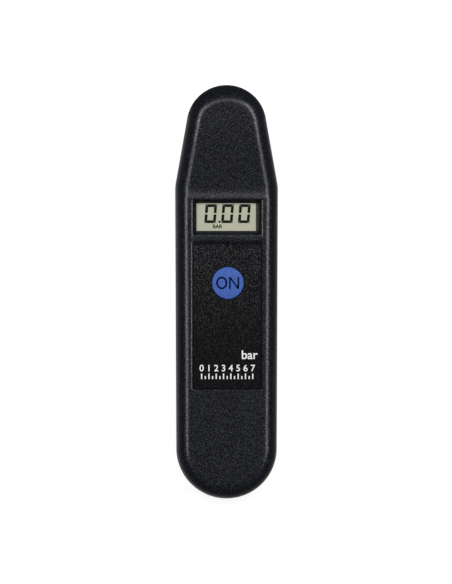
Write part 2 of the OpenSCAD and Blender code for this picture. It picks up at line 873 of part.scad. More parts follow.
module switch_body() {
    lead_length = switch_side + 2 * lead_reach;
    dome_room = dome_height + dome_gap + button_travel;
    color("#26272a")
        translate([button_at.x, button_at.y, board_top])
            difference() {
                union() {
                    slab(0, 0, 0, switch_side, switch_side, switch_height);
                    for (y = [-1, 1])
                        slab(0, y * switch_side / 3, 0, lead_length, lead_width, lead_thick);
                }
                pipe(0, 0, dome_seat, dome_seat + dome_room, dome_diameter / 2 + dome_gap);
                pipe(0, 0, dome_seat, switch_height + cut, plunger_diameter / 2 + plunger_gap);
            }
}

module switch_dome() {
    half = dome_diameter / 2;
    radius = (half * half + dome_height * dome_height) / (2 * dome_height);
    color("#c4c6c8")
        translate([button_at.x, button_at.y, board_top + dome_seat])
            difference() {
                translate([0, 0, dome_height - radius])
                    sphere(radius);
                translate([0, 0, dome_height - radius])
                    sphere(radius - dome_thick);
                pipe(0, 0, -2 * radius, 0, 2 * radius);
            }
}

module switch_plunger() {
    color("#d6d2c4")
        pipe(
            button_at.x, button_at.y, board_top + dome_seat + dome_height + dome_gap,
            button_z, plunger_diameter / 2
        );
}

module pressure_sensor() {
    color("#a9acb0")
        difference() {
            union() {
                pipe(0, head_y, board_top, board_top + flange_height, sensor_diameter / 2);
                pipe(0, head_y, board_top, board_top + sensor_height, sensor_diameter / 2 - sensor_flange);
                pipe(0, head_y, tube_seat_z + tube_gap, board_top + hairline, tube_diameter / 2);
            }
            pipe(0, head_y, tube_seat_z, board_top + flange_height, tube_bore / 2);
        }
}

module sensor_oring() {
    color("#17181a")
        ring(
            0, head_y, tube_seat_z + tube_seat_depth / 2,
            (tube_diameter + tube_seat_radius * 2) / 4, oring_thick
        );
}

module nozzle() {
    socket = socket_diameter / 2;
    color("#b8985a")
        difference() {
            union() {
                pipe(0, head_y, mouth_height, collar_top, mouth_diameter / 2);
                pipe(0, head_y, collar_top - collar_height, collar_top, collar_diameter / 2);
                pipe(0, head_y, mouth_height, nut_top + sink / 2, neck_diameter / 2);
                pipe(0, head_y, mouth_height, spigot_top, spigot_diameter / 2);
            }
            pipe(0, head_y, mouth_height - cut, plate_top, socket);
            translate([0, head_y, mouth_height - hairline])
                cylinder(h = socket_bevel, r1 = socket + socket_bevel, r2 = socket);
            pipe(0, head_y, socket_top, seal_top, groove_radius);
            pipe(0, head_y, plate_top - cut, tube_seat_z + cut, passage_diameter / 2);
            pipe(0, head_y, tube_seat_z, spigot_top + cut, tube_seat_radius);
        }
}

module nozzle_washer() {
    color("#17181a")
        difference() {
            pipe(0, head_y, collar_top, head_back_step, collar_diameter / 2);
            pipe(0, head_y, collar_top - cut, head_back_step + cut, neck_diameter / 2 + neck_gap);
        }
}

module nozzle_nut() {
    color("#b8985a")
        translate([0, head_y, head_inner_z])
            difference() {
                cylinder(h = nut_height, r = nut_flats / sqrt(3), $fn = 6);
                pipe(0, 0, -cut, nut_height + cut, neck_diameter / 2 + thread_gap);
            }
}

module valve_seal() {
    color("#17181a")
        difference() {
            pipe(0, head_y, socket_top, seal_top, groove_radius - seal_gap);
            pipe(0, head_y, socket_top - cut, seal_top + cut, seal_hole / 2);
        }
}

module valve_pin() {
    hole_ring = (pin_diameter + seal_hole) / 4;
    color("#c9cbce")
        difference() {
            union() {
                pipe(0, head_y, seal_top, plate_top, plate_radius);
                pipe(0, head_y, socket_top + seat_gap, plate_top, pin_diameter / 2);
            }
            for (i = [0:2])
                translate([0, head_y, 0])
                    rotate(i * 120)
                        pipe(hole_ring, 0, seal_top - cut, plate_top + cut, air_hole / 2);
        }
}

module coin_cell() {
    rim = cell_diameter / 2;
    color("#c2c4c6")
        translate([0, cell_y, cell_z]) {
            cylinder(h = cell_thick - cell_step, r = rim);
            cylinder(h = cell_thick, r = rim - cell_rim);
        }
}

module contact_negative() {
    foot_start = -cell_diameter / 2 - contact_foot / 2;
    foot_end = foot_start + contact_foot;
    tip_z = cell_top + contact_gap;
    color("#c9b26a")
        translate([-contact_width / 2, cell_y, 0])
            rotate([90, 0, 90])
                linear_extrude(contact_width)
                    polygon([
                        [foot_start, board_bottom - contact_thick],
                        [foot_end, board_bottom - contact_thick],
                        [-contact_foot / 2, tip_z],
                        [contact_foot / 2, tip_z],
                        [contact_foot / 2, tip_z + contact_thick],
                        [-contact_foot / 2 + contact_thick, tip_z + contact_thick],
                        [foot_end + contact_thick, board_bottom],
                        [foot_start, board_bottom]
                    ]);
}

module contact_positive() {
    low = lug_top + seat_gap;
    color("#c9b26a")
        translate([cell_diameter / 2 + contact_gap, cell_y - contact_width / 2, 0]) {
            translate([0, 0, low])
                cube([contact_thick, contact_width, board_bottom - low]);
            translate([0, 0, board_bottom - contact_thick])
                cube([side_foot, contact_width, contact_thick]);
        }
}

module battery_cap() {
    color("#202124")
        translate([0, cell_y, 0])
            difference() {
                union() {
                    pipe(0, 0, cap_sunk, cap_inner_z, cap_radius);
                    pipe(0, 0, cap_sunk, lug_top, cup_outer);
                    for (i = [0:lug_count - 1])
                        rotate(i * 360 / lug_count - lug_angle / 2)
                            rotate_extrude(angle = lug_angle)
                                translate([cup_radius + cup_wall / 2, lug_z])
                                    square([cup_wall / 2 + lug_reach, lug_thick]);
                }
                pipe(0, 0, cap_inner_z, lug_top + cut, cup_radius);
                slab(0, 0, cap_sunk - cut, slot_length, slot_width, slot_depth + cut);
            }
}

module battery_cap_seal() {
    color("#17181a")
        ring(
            0, cell_y, cap_inner_z + (cap_ring_thick + seal_gap) / 2,
            cup_outer + cap_ring_thick / 2 + seal_gap, cap_ring_thick
        );
}

module case_screws() {
    color("#8f9296")
        for (spot = case_screw_spots)
            translate([spot.x, spot.y, case_well - case_head_height])
                pan_screw(case_screw, case_screw_length, case_head, case_head_height);
}

module board_screws() {
    color("#8f9296")
        for (spot = board_screw_spots)
            translate([spot.x, spot.y, board_bottom - board_head_height])
                pan_screw(board_screw, board_screw_length, board_head_diameter, board_head_height);
}

front_shell();
rear_shell();
label_film();
on_button();
lcd_window();
lcd_gasket();
lcd_polarizer();
lcd_front_glass();
lcd_rear_glass();
lcd_reflector();
lcd_frame();
lcd_connector();
circuit_board();
chip_cover();
crystal();
capacitors();
resistors();
switch_body();
switch_dome();
switch_plunger();
pressure_sensor();
sensor_oring();
nozzle();
nozzle_washer();
nozzle_nut();
valve_seal();
valve_pin();
coin_cell();
contact_negative();
contact_positive();
battery_cap();
battery_cap_seal();
case_screws();
board_screws();
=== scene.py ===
"""Looks of a hand-held digital tire pressure gauge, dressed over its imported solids."""

import math

import bmesh
import bpy
from bpy.props import FloatProperty, FloatVectorProperty, IntProperty, PointerProperty
from bpy.types import NodeSocket, Operator, Panel, PropertyGroup
from mathutils import Matrix, Vector


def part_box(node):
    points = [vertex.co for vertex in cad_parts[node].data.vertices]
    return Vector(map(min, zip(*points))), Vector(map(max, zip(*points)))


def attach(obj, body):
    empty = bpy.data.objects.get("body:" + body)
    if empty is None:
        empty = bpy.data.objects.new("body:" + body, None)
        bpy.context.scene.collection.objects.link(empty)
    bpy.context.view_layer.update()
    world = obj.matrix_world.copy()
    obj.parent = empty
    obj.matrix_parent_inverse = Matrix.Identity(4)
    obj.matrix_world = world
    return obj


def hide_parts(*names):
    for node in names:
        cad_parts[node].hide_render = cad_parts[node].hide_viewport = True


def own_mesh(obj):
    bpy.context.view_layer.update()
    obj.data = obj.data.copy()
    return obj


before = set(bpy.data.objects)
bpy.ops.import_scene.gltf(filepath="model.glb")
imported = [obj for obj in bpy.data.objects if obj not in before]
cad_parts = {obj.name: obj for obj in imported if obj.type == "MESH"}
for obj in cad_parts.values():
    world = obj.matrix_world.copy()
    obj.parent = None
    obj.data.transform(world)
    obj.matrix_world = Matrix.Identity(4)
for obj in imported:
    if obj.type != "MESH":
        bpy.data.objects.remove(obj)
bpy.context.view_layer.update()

bl_info = {
    "name": "Tire pressure gauge",
    "version": (1, 0, 0),
    "blender": (4, 5, 0),
    "location": "3D View > Sidebar > Gauge",
    "description": "Builds the case, display, button, nozzle and fittings of a digital tire pressure gauge",
    "category": "Object",
}

MM = 0.001
PAST = 1 * MM  # How far a cutter reaches past what it cuts
SAME_PLACE = 1e-8  # Points closer than this are one point
CAPITAL = 0.73  # Height of a capital letter as a share of its font size
PICTURE = 452, 584  # Width and height of the picture in pixels
SENSOR = 36  # Width of the camera's sensor in millimetres


def linear(level):
    """One sRGB level from 0 to 255 as a linear value."""
    share = level / 255
    return share / 12.92 if share <= 0.04045 else ((share + 0.055) / 1.055) ** 2.4


def size(name, millimetres, words):
    """A length, given in millimetres."""
    return FloatProperty(name=name, description=words, default=millimetres * MM, unit="LENGTH", precision=5)


def tint(name, red, green, blue, words):
    """A colour, given in sRGB levels from 0 to 255."""
    return FloatVectorProperty(
        name=name, description=words, size=3, min=0, max=1, subtype="COLOR",
        default=tuple(linear(level) for level in (red, green, blue)),
    )


def angle(name, degrees, words):
    """An angle, given in degrees."""
    return FloatProperty(name=name, description=words, default=math.radians(degrees), subtype="ANGLE")


def amount(name, value, words):
    """A plain number."""
    return FloatProperty(name=name, description=words, default=value, precision=3)


class CaseSettings(PropertyGroup):
    """Form and finish of the two shells."""
    length: size("Length", 142, "From the tip of the head to the tail")
    shoulder_width: size("Shoulder width", 35.3, "Width across the shoulders")
    head_radius: size("Head radius", 13.7, "Radius of the round head")
    tail_radius: size("Tail radius", 17.25, "Radius of the round tail")
    shoulder_drop: size("Shoulder drop", 34.9, "From the tip of the head down to the shoulders")
    shoulder_blend: size("Shoulder blend", 16, "Radius between the neck and the sides")
    wall: size("Wall", 1.8, "Thickness of the shells")
    rear_depth: size("Rear depth", 9.5, "Height of the parting plane")
    front_depth: size("Front depth", 10.1, "From the parting plane to the main face")
    head_face_step: size("Face step", 0.6, "How far the head's face lies under the main face")
    face_ramp: size("Face slope", 2.8, "Length of the slope between the two faces")
    head_back_step: size("Back step", 5.5, "How far the head's back lies above the flat back")
    head_back_y: size("Head back end", 48.85, "Where the head's own back ends")
    back_ramp: size("Back slope", 6, "Length of the slope between the two backs")
    face_inset: size("Face inset", 4.7, "From the outline in to the main face")
    head_face_inset: size("Head inset", 5.1, "From the outline in to the face of the head")
    tip_inset: size("Tip inset", 6.8, "The same at the tip of the head")
    tail_inset: size("Tail inset", 5, "The same at the end of the tail")
    face_lean: size("Face lean", 0.5, "How far the front wall leans in before it turns into the face")
    back_inset: size("Back inset", 4.2, "From the outline in to the flat back")
    head_back_inset: size("Head back inset", 3.4, "The same on the back of the head")
    back_round: size("Back edge", 2.5, "Edge radius of the flat back")
    head_back_round: size("Head back edge", 2, "Edge radius of the head's back")
    seam: size("Seam", 0.16, "Bevel along the parting line")
    colour: tint("Colour", 6, 7, 10, "Colour of the moulded case")
    speck_colour: tint("Specks", 65, 69, 79, "Colour of the bright specks in its grain")
    grain: size("Grain", 0.26, "Spacing of the moulded grain")


class LabelSettings(PropertyGroup):
    """Label film, its recess and the print on it."""
    width: size("Width", 23.9, "Width of the recess")
    length: size("Length", 50.2, "Length of the recess")
    top: size("Top", 16.68, "Upper end of the recess along the case")
    corner: size("Corner", 0.6, "Corner radius of the recess")
    recess: size("Recess", 0.5, "Depth of the recess")
    bevel: size("Bevel", 0.4, "Bevel of the recess on the left")
    foot_bevel: size("Foot bevel", 0.28, "Bevel of the recess at its foot")
    bevel_depth: size("Bevel depth", 0.108, "Depth of both bevels")
    brow: size("Brow", 1, "How far the upper edge of the recess is rounded off")
    thick: size("Thickness", 0.3, "Thickness of the film")
    gap: size("Gap", 0.1, "Gap round the film")
    edge: size("Edge", 0.06, "Rounding of the film's edge")
    # A plain dark band without specks round the film's edges: painted shadow of the gap round the film
    border: size("Border", 0.36, "Width of the plain border round the specks")
    ink: size("Ink", 0.015, "Thickness of the print")
    tick_count: IntProperty(name="Ticks", description="Ticks on the printed scale", default=15, min=2)
    tick_pitch: size("Tick pitch", 1.25, "Distance between ticks")
    tick_width: size("Tick width", 0.42, "Width of a tick")
    tick_height: size("Tick height", 1.9, "Height of a long tick")
    short_tick: amount("Short tick", 0.55, "Height of every other tick as a share of a long one")
    print_left: size("First tick", -8.75, "Middle of the first tick across the case")
    print_foot: size("Print foot", -29.9, "Foot of the ticks along the case")
    number_height: size("Number height", 2.3, "Height of the printed numbers")
    number_rise: size("Number rise", 2.7, "From the foot of the ticks up to the numbers")
    unit_height: size("Unit height", 3.1, "Height of the printed unit")
    unit_rise: size("Unit rise", 6.9, "From the foot of the ticks up to the unit")
    unit_right: size("Unit end", 10.4, "Right end of the unit across the case")
    film_colour: tint("Film", 7, 8, 9, "Colour of the film")
    speck_colour: tint("Specks", 115, 117, 122, "Colour of the bright specks in the film")
    print_colour: tint("Print", 236, 236, 238, "Colour of the printed scale")


class ButtonSettings(PropertyGroup):
    """Round press button and the two letters on it."""
    diameter: size("Diameter", 10.8, "Diameter of the button")
    x: size("Place across", 0.22, "Middle of the button across the case")
    y: size("Place along", 2.98, "Middle of the button along the case")
    gap: size("Gap", 0.25, "Gap between the button and its hole")
    lip: size("Lip", 0.6, "Thickness of the lip at its foot")
    edge: size("Edge", 0.2, "Rounding of the rim")
    ink: size("Ink", 0.012, "How far the letters stand out")
    ink_root: size("Ink root", 0.01, "How far the letters are let in")
    round_stroke: size("Round stroke", 0.62, "Stroke of the round letter")
    round_width: size("Round width", 3.8, "Width of the round letter")
    round_height: size("Round height", 4.32, "Height of the round letter")
    round_x: size("Round place across", -2.1, "Middle of the round letter from the button's middle")
    round_y: size("Round place along", 0.02, "The same along the case")
    straight_stroke: size("Straight stroke", 0.5704, "Stroke of the straight letter")
    straight_width: size("Straight width", 3.45, "Width of the straight letter")
    straight_height: size("Straight height", 4.1, "Height of the straight letter")
    straight_x: size("Straight place", 2.14, "Middle of the straight letter from the button's middle")
    kick: size("Kick", 0.86, "Height of the slanting stroke where it meets an upright")
    colour: tint("Colour", 56, 91, 169, "Colour of the button")
    letter_colour: tint("Lettering", 1, 8, 46, "Colour of the lettering")


class DisplaySettings(PropertyGroup):
    """Display opening and the digits shown in it."""
    opening_width: size("Opening width", 23.8, "Width of the opening at the face")
    opening_height: size("Opening height", 12.3, "Height of the opening at the face")
    opening_y: size("Opening place", 25.43, "Middle of the opening along the case")
    opening_corner: size("Opening corner", 0.45, "Corner radius of the opening")
    opening_depth: size("Opening depth", 2.8, "How deep the opening is cut")
    slope: size("Slope", 0.9, "How far the opening's walls lean in")
    mouth: size("Mouth", 0.35, "How far the opening widens to the sides at the face")
    mouth_top: size("Mouth top", 0.0875, "How far it widens upwards there")
    mouth_depth: size("Mouth depth", 0.095, "How deep it widens")
    sill: size("Sill", 1.6, "How far the lower edge of the opening is rounded off")
    sill_depth: size("Sill depth", 0.19, "How deep that edge is rounded off")
    screen_corner: size("Screen corner", 0.3, "Corner radius of the display film")
    screen_edge: size("Screen edge", 0.05, "Bevel of the display film")
    ink: size("Ink", 0.012, "Thickness of what is lit")
    digit_count: IntProperty(name="Digits", description="Number of digits", default=3, min=1)
    digit_height: size("Digit height", 6.45, "Height of a digit")
    digit_width: size("Digit width", 3.94, "Width of a digit")
    digit_pitch: size("Digit pitch", 5.77, "Distance between digits")
    digit_left: size("First digit", -5.59, "Middle of the first digit across the case")
    digit_low: size("Digit foot", 23.5, "Foot of the digits along the case")
    bar: size("Segment", 0.96, "Width of a segment")
    corner: size("Corner", 0.09, "How much of each outer corner of a digit is left open")
    waist: size("Waist", 0.38, "Gap between the upper and lower half of a digit")
    trim: size("Trim", 0.1, "How much an upright segment is cut back at the waist")
    slant: angle("Slant", 4.5, "Lean of the digits")
    point_left: size("Point left", -2.95, "Left side of the decimal point across the case")
    point_low: size("Point foot", 23.62, "Foot of the decimal point along the case")
    point_width: size("Point width", 0.75, "Width of the decimal point")
    point_height: size("Point height", 0.68, "Height of the decimal point")
    point_corner: size("Point corner", 0.12, "Corner radius of the decimal point")
    unit_height: size("Unit height", 1.3, "Height of the unit")
    unit_x: size("Unit place", -3.3, "Middle of the unit across the case")
    unit_low: size("Unit foot", 21.75, "Foot of the unit along the case")
    screen_colour: tint("Screen", 181, 182, 161, "Colour of the unlit display")
    segment_colour: tint("Segments", 11, 19, 12, "Colour of the lit segments")


class FittingSettings(PropertyGroup):
    """Screws, what holds them, and the nozzle."""
    head: size("Case screw head", 4.8, "Diameter of a case screw's head")
    head_height: size("Case screw head height", 1.7, "Height of a case screw's head")
    thread: size("Case screw thread", 2.6, "Diameter of a case screw's thread")
    thread_length: size("Case screw length", 10, "Length of a case screw under its head")
    tail_margin: size("Screw margin", 7.55, "From the side of the tail in to its screws")
    boss: size("Boss", 3, "Radius of a boss for a case screw")
    boss_root: size("Boss root", 0.6, "How far a boss goes into the face")
    pilot: size("Pilot", 1.35, "Radius of the hole in a boss")
    pilot_end: size("Pilot end", 15.6, "Height at which that hole ends")
    pillar: size("Pillar", 3.7, "Radius of a pillar round a screw well")
    well: size("Screw well", 5, "Depth of the well for a case screw's head")
    well_radius: size("Well radius", 2.6, "Radius of that well")
    shank_hole: size("Shank hole", 1.4, "Radius of the hole on from a well")
    mouth_edge: size("Mouth edge", 0.25, "Rounding of the openings in the back")
    board_head: size("Board screw head", 3.6, "Diameter of a board screw's head")
    board_head_height: size("Board screw head height", 1.2, "Height of a board screw's head")
    board_thread: size("Board screw thread", 2, "Diameter of a board screw's thread")
    board_thread_length: size("Board screw length", 5, "Length of a board screw under its head")
    board_low: size("Board underside", 11.3, "Height of the board's underside")
    nozzle_hole: size("Nozzle hole", 6.15, "Radius of the hole for the nozzle")
    steel_colour: tint("Steel", 176, 178, 182, "Colour of the plated steel")
    brass_colour: tint("Brass", 196, 164, 98, "Colour of the brass")


class CapSettings(PropertyGroup):
    """Battery cap and its opening in the back."""
    opening: size("Opening", 12.4, "Radius of the opening at the back")
    ledge: size("Ledge", 1.5, "Depth of the ledge in the opening")
    throat: size("Throat", 11.35, "Radius of the opening past the ledge")
    throat_end: size("Throat end", 4, "Height at which the opening ends")
    pad: size("Pad", 14.2, "Radius of the thicker wall round the opening")
    pad_top: size("Pad top", 2.9, "Height of that wall's inner side")
    edge: size("Edge", 0.35, "Rounding of the cap's rim")
    plate: size("Plate", 1.2, "Thickness of the cap's plate")
    skirt: size("Skirt", 11.15, "Outer radius of the skirt")
    skirt_inside: size("Skirt inside", 10.25, "Inner radius of the skirt")
    slot_length: size("Slot length", 15, "Length of the coin slot")
    slot_width: size("Slot width", 2, "Width of the coin slot")
    slot_corner: size("Slot corner", 0.95, "Corner radius of the coin slot")
    slot_depth: size("Slot depth", 0.7, "Depth of the coin slot")
    arrow_depth: size("Arrow depth", 0.2, "Depth of the arrow")
    lug_count: IntProperty(name="Lugs", description="Number of bayonet lugs", default=3, min=2)
    lug_span: angle("Lug span", 24, "Angle that a lug takes up")


class StageSettings(PropertyGroup):
    """Floor, camera and lamps."""
    floor_colour: tint("Floor", 165, 165, 165, "Colour of the floor")
    floor_glow: amount("Floor glow", 0.82, "How much the floor is lifted towards white")
    floor_reach: size("Floor reach", 4000, "From the middle of the floor to its sides")
    floor_drop: size("Floor drop", 0.05, "How far the floor lies under the case")
    view_width: size("View width", 155.26, "Width of the picture at the parting plane")
    aim_x: size("Aim across", -0.173, "Middle of the picture across the case")
    aim_y: size("Aim along", -0.1, "Middle of the picture along the case")
    view_distance: size("Distance", 2500, "From the camera to the parting plane")
    view_tilt: angle("Tilt", 1.4, "Camera's lean to the left")
    side_light: amount("Side boxes", 5.4, "Power per metre of the soft boxes on the left and right")
    side_reach: size("Side box reach", 420, "From the middle out to the side boxes")
    side_height: size("Side box height", 740, "Height of the side boxes")
    side_width: size("Side box width", 260, "Width of the side boxes")
    head_light: amount("Head box", 1.45, "Power of the soft box beyond the head")
    head_reach: size("Head box reach", 460, "From the middle to the box beyond the head")
    head_height: size("Head box height", 780, "Height of that box")
    head_length: size("Head box length", 900, "Length of that box")
    head_width: size("Head box width", 160, "Width of that box")
    light_aim: size("Light aim", 10, "Height that the boxes are aimed at")
    air_light: amount("Air", 0.1, "Strength of the light from all round")


# Meshes

def add_piece(name, data):
    """Puts a mesh or writing into the scene as an object."""
    piece = bpy.data.objects.new(name, data)
    bpy.context.scene.collection.objects.link(piece)
    return piece


def mesh_of(name, points, faces):
    """Object of points and faces, with doubled points made one and the faces turned outwards."""
    mesh = bpy.data.meshes.new(name)
    mesh.from_pydata(points, [], faces)
    mesh.validate()
    form = bmesh.new()
    form.from_mesh(mesh)
    bmesh.ops.remove_doubles(form, verts=form.verts, dist=SAME_PLACE)
    bmesh.ops.recalc_face_normals(form, faces=form.faces)
    form.to_mesh(mesh)
    form.free()
    return add_piece(name, mesh)


def plain_mesh(piece):
    """What an object's modifiers or its writing come to, as a mesh."""
    bpy.context.view_layer.update()
    graph = bpy.context.evaluated_depsgraph_get()
    return bpy.data.meshes.new_from_object(piece.evaluated_get(graph), depsgraph=graph)


def settle(piece):
    """Turns what the modifiers make into the piece's own plain mesh."""
    mesh = plain_mesh(piece)
    if not mesh.polygons:
        raise RuntimeError(piece.name + " has no faces")
    old = piece.data
    piece.modifiers.clear()
    piece.data = mesh
    bpy.data.meshes.remove(old)


def carve(piece, other, operation="DIFFERENCE"):
    """Takes another form away from a piece, or adds it, and uses it up."""
    step = piece.modifiers.new("carve", "BOOLEAN")
    step.operation = operation
    step.solver = "EXACT"
    step.object = other
    settle(piece)
    bpy.data.objects.remove(other)


def join(name, pieces):
    """One object in place of several."""
    form = bmesh.new()
    for piece in pieces:
        form.from_mesh(piece.data)
        bpy.data.objects.remove(piece)
    mesh = bpy.data.meshes.new(name)
    form.to_mesh(mesh)
    form.free()
    return add_piece(name, mesh)


def smooth(piece, degrees=32):
    """Smooth shading that keeps flats flat and edges crisp."""
    piece.data.shade_smooth()
    piece.data.set_sharp_from_angle(angle=math.radians(degrees))
    step = piece.modifiers.new("normals", "WEIGHTED_NORMAL")
    step.keep_sharp = True
    settle(piece)


def lathe(name, profile, x, y, steps=96, closed=False):
    """Turns a profile of radius and height about an upright axis."""
    points = []
    rings = []
    for radius, z in profile:
        if radius < SAME_PLACE:
            rings.append([len(points)] * steps)
            points.append((x, y, z))
            continue
        rings.append(list(range(len(points), len(points) + steps)))
        for i in range(steps):
            turn = math.tau * i / steps
            points.append((x + radius * math.cos(turn), y + radius * math.sin(turn), z))
    pairs = list(zip(rings, rings[1:]))
    if closed:
        pairs.append((rings[-1], rings[0]))
    faces = []
    for low, high in pairs:
        for i in range(steps):
            j = (i + 1) % steps
            corners = dict.fromkeys((low[i], low[j], high[j], high[i]))
            if len(corners) > 2:
                faces.append(tuple(corners))
    return mesh_of(name, points, faces)


def tube(name, x, y, low, high, radius, steps=64):
    """Upright solid cylinder."""
    return lathe(name, [(0, low), (radius, low), (radius, high), (0, high)], x, y, steps)


def bands(rows, count, closed=False):
    """Faces between rows of as many points each, also from the last row to the first if closed."""
    faces = []
    for row in range(rows if closed else rows - 1):
        near, far = row * count, (row + 1) % rows * count
        for i in range(count):
            j = (i + 1) % count
            faces.append((near + i, near + j, far + j, far + i))
    return faces


def loft(name, loops, closed=False):
    """Form through loops of as many points each, with two ends or closed to a ring."""
    count = len(loops[0])
    points = [point for loop in loops for point in loop]
    ends = [] if closed else [tuple(range(count)), tuple(range(len(points) - count, len(points)))]
    return mesh_of(name, points, ends + bands(len(loops), count, closed))


def rounded_loop(left, right, low, high, corner, z, steps=6):
    """Points of a rectangle with round corners at one height."""
    spots = []
    for x, y, start in (
        (right - corner, high - corner, 0),
        (left + corner, high - corner, 90),
        (left + corner, low + corner, 180),
        (right - corner, low + corner, 270),
    ):
        for i in range(steps + 1):
            turn = math.radians(start + 90 * i / steps)
            spots.append((x + corner * math.cos(turn), y + corner * math.sin(turn), z))
    return spots


def quarter(radius, steps):
    """Inset and depth along a rounded edge, from its upper end to its lower end."""
    turns = [math.pi / 2 * i / steps for i in range(steps + 1)]
    return [(radius * (1 - math.sin(turn)), radius * (1 - math.cos(turn))) for turn in turns]


def drops(depth, steps=10):
    """Depths from above a face to a floor in it, closest together at the face."""
    return [-PAST] + [depth * (i / steps) ** 2 for i in range(steps + 1)]


def middle(node):
    """Middle of a solid's box."""
    low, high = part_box(node)
    return (low + high) / 2


# Nodes

def fill(tree, socket, value):
    """Links another node's output to an input, or sets a plain value there."""
    if isinstance(value, NodeSocket):
        tree.links.new(value, socket)
    else:
        socket.default_value = value


def feed(tree, node, **inputs):
    """Fills a node's inputs by name, with an underscore for each space."""
    for name, value in inputs.items():
        fill(tree, node.inputs[name.replace("_", " ")], value)


def add(tree, kind, settings=None, **inputs):
    """New node with its settings made and its inputs filled."""
    node = tree.nodes.new(kind)
    for name, value in (settings or {}).items():
        setattr(node, name, value)
    feed(tree, node, **inputs)
    return node


def maths(tree, operation, *values, kind="ShaderNodeMath"):
    """Result of a maths node, whose inputs are filled in order."""
    node = add(tree, kind, {"operation": operation})
    for socket, value in zip(node.inputs, values):
        fill(tree, socket, value)
    return node.outputs[0]


def parts(tree, whole):
    """X, Y and Z of a vector."""
    return add(tree, "ShaderNodeSeparateXYZ", Vector=whole).outputs


def vector(tree, **values):
    """A vector from its X, Y and Z."""
    return add(tree, "ShaderNodeCombineXYZ", **values).outputs["Vector"]


def spread(tree, value, low, high, out_low, out_high):
    """Turns one range of a value into another and holds it at both ends."""
    return add(
        tree, "ShaderNodeMapRange", Value=value, From_Min=low, From_Max=high, To_Min=out_low, To_Max=out_high,
    ).outputs["Result"]


def blend(tree, share, first, second):
    """A colour between two others."""
    return add(
        tree, "ShaderNodeMix", {"data_type": "RGBA"}, Factor=share, A=(*first, 1), B=(*second, 1),
    ).outputs["Result"]


# Finishes

NOISE_TURN = 0.6, 0.5, 0.3  # Turns noise out of the case's planes, so that every face cuts it alike
MOST = 0.3, 0.7  # Range that holds most of a noise's values
WAVE = 0.31  # Length of one ring of the wave texture at a scale of 1

# Where the finish of the case changes along its length
NECK = 20 * MM, 50 * MM
FACE_SLOPE = 31 * MM, 39 * MM
HEAD_FACE = 50 * MM, 58 * MM
TIP = 59 * MM, 65 * MM

# How far a face of the case looks up or down where its finish changes, from 0 for an upright wall to 1
STEEP = 0.5, 0.9
LEVEL = 0.8, 0.93


def finish(make):
    """Turns a recipe for a shader into a function that gives the named material, made only once."""
    def named(name, *values, **settings):
        material = bpy.data.materials.get(name)
        if material is None:
            material = bpy.data.materials.new(name)
            material.use_nodes = True
            tree = material.node_tree
            make(tree, tree.nodes["Principled BSDF"], *values, **settings)
        return material
    return named


def noise(tree, spacing, detail=2.0, roughness=0.5):
    """Noise in the object's own space."""
    where = add(tree, "ShaderNodeTexCoord").outputs["Object"]
    skew = add(tree, "ShaderNodeMapping", Vector=where, Rotation=NOISE_TURN).outputs["Vector"]
    return add(
        tree, "ShaderNodeTexNoise", Vector=skew, Scale=1 / spacing, Detail=detail, Roughness=roughness,
    ).outputs["Fac"]


def relief(tree, shader, height, depth, strength=1.0):
    """Fine ups and downs in a surface and in its sheen."""
    bump = add(tree, "ShaderNodeBump", Strength=strength, Distance=depth, Height=height).outputs["Normal"]
    feed(tree, shader, Normal=bump, Coat_Normal=bump)


def satin(tree, shader, weight, rough):
    """An even sheen that doesn't grow much at low angles, as on fine-grained plastic."""
    feed(tree, shader, Specular_IOR_Level=0.015, Coat_Weight=weight, Coat_Roughness=rough, Coat_IOR=3.5)


def shade(colour, factor):
    """A darker or lighter colour."""
    return tuple(min(1.0, level * factor) for level in colour)


@finish
def moulded(tree, shader, colour, grain, depth, rough, contrast=0.35, sheen=0.5, metal=0.0):
    """Fine grain in colour, gloss and surface, with its spacing and depth in millimetres."""
    fine = noise(tree, grain * MM, 2, 0.6)
    share = spread(tree, fine, *MOST, 0, 1)
    tone = blend(tree, share, shade(colour, 1 - contrast), shade(colour, 1 + contrast))
    dull = spread(tree, noise(tree, 6 * grain * MM), *MOST, rough - 0.05, rough + 0.05)
    feed(tree, shader, Base_Color=tone, Roughness=dull, Specular_IOR_Level=sheen, Metallic=metal)
    relief(tree, shader, fine, depth * MM)


@finish
def grained(tree, shader, colour, speck_colour, grain, depth, rough):
    """Spark-eroded plastic: dark, with fine relief and bright specks on its high spots."""
    fine = noise(tree, grain, 1)
    where = add(tree, "ShaderNodeTexCoord").outputs
    facing = maths(tree, "ABSOLUTE", parts(tree, where["Normal"])["Z"])
    along = parts(tree, where["Object"])["Y"]

    # Specks are fainter on the walls, and the ground between them is lighter there.
    ground = spread(tree, facing, *STEEP, 0.07, 0)
    speck = spread(tree, facing, *STEEP, 0.5, 1)
    tone = blend(tree, spread(tree, fine, 0.5, 0.76, ground, speck), colour, speck_colour)

    # The tip of the head is duller than the rest.
    dull = spread(tree, noise(tree, 8 * grain), *MOST, rough - 0.04, rough + 0.04)
    dull = maths(tree, "ADD", dull, spread(tree, along, *TIP, 0, 0.42))
    feed(tree, shader, Base_Color=tone, Roughness=dull)

    # The sheen lies on the level faces and on the high spots of the grain. A viewer that
    # doesn't follow its link shows the plain weight.
    satin(tree, shader, 0.08, 0.26)
    wall = spread(tree, along, *NECK, 0.012, 0.002)
    face = spread(tree, along, *FACE_SLOPE, 0.086, 0.058)
    face = spread(tree, along, *HEAD_FACE, face, 0.095)
    sheen = spread(tree, facing, *LEVEL, wall, face)
    glint = spread(tree, fine, 0.4, 0.68, 0.4, 1.9)
    feed(tree, shader, Coat_Weight=maths(tree, "MULTIPLY", sheen, glint))
    relief(tree, shader, fine, depth)


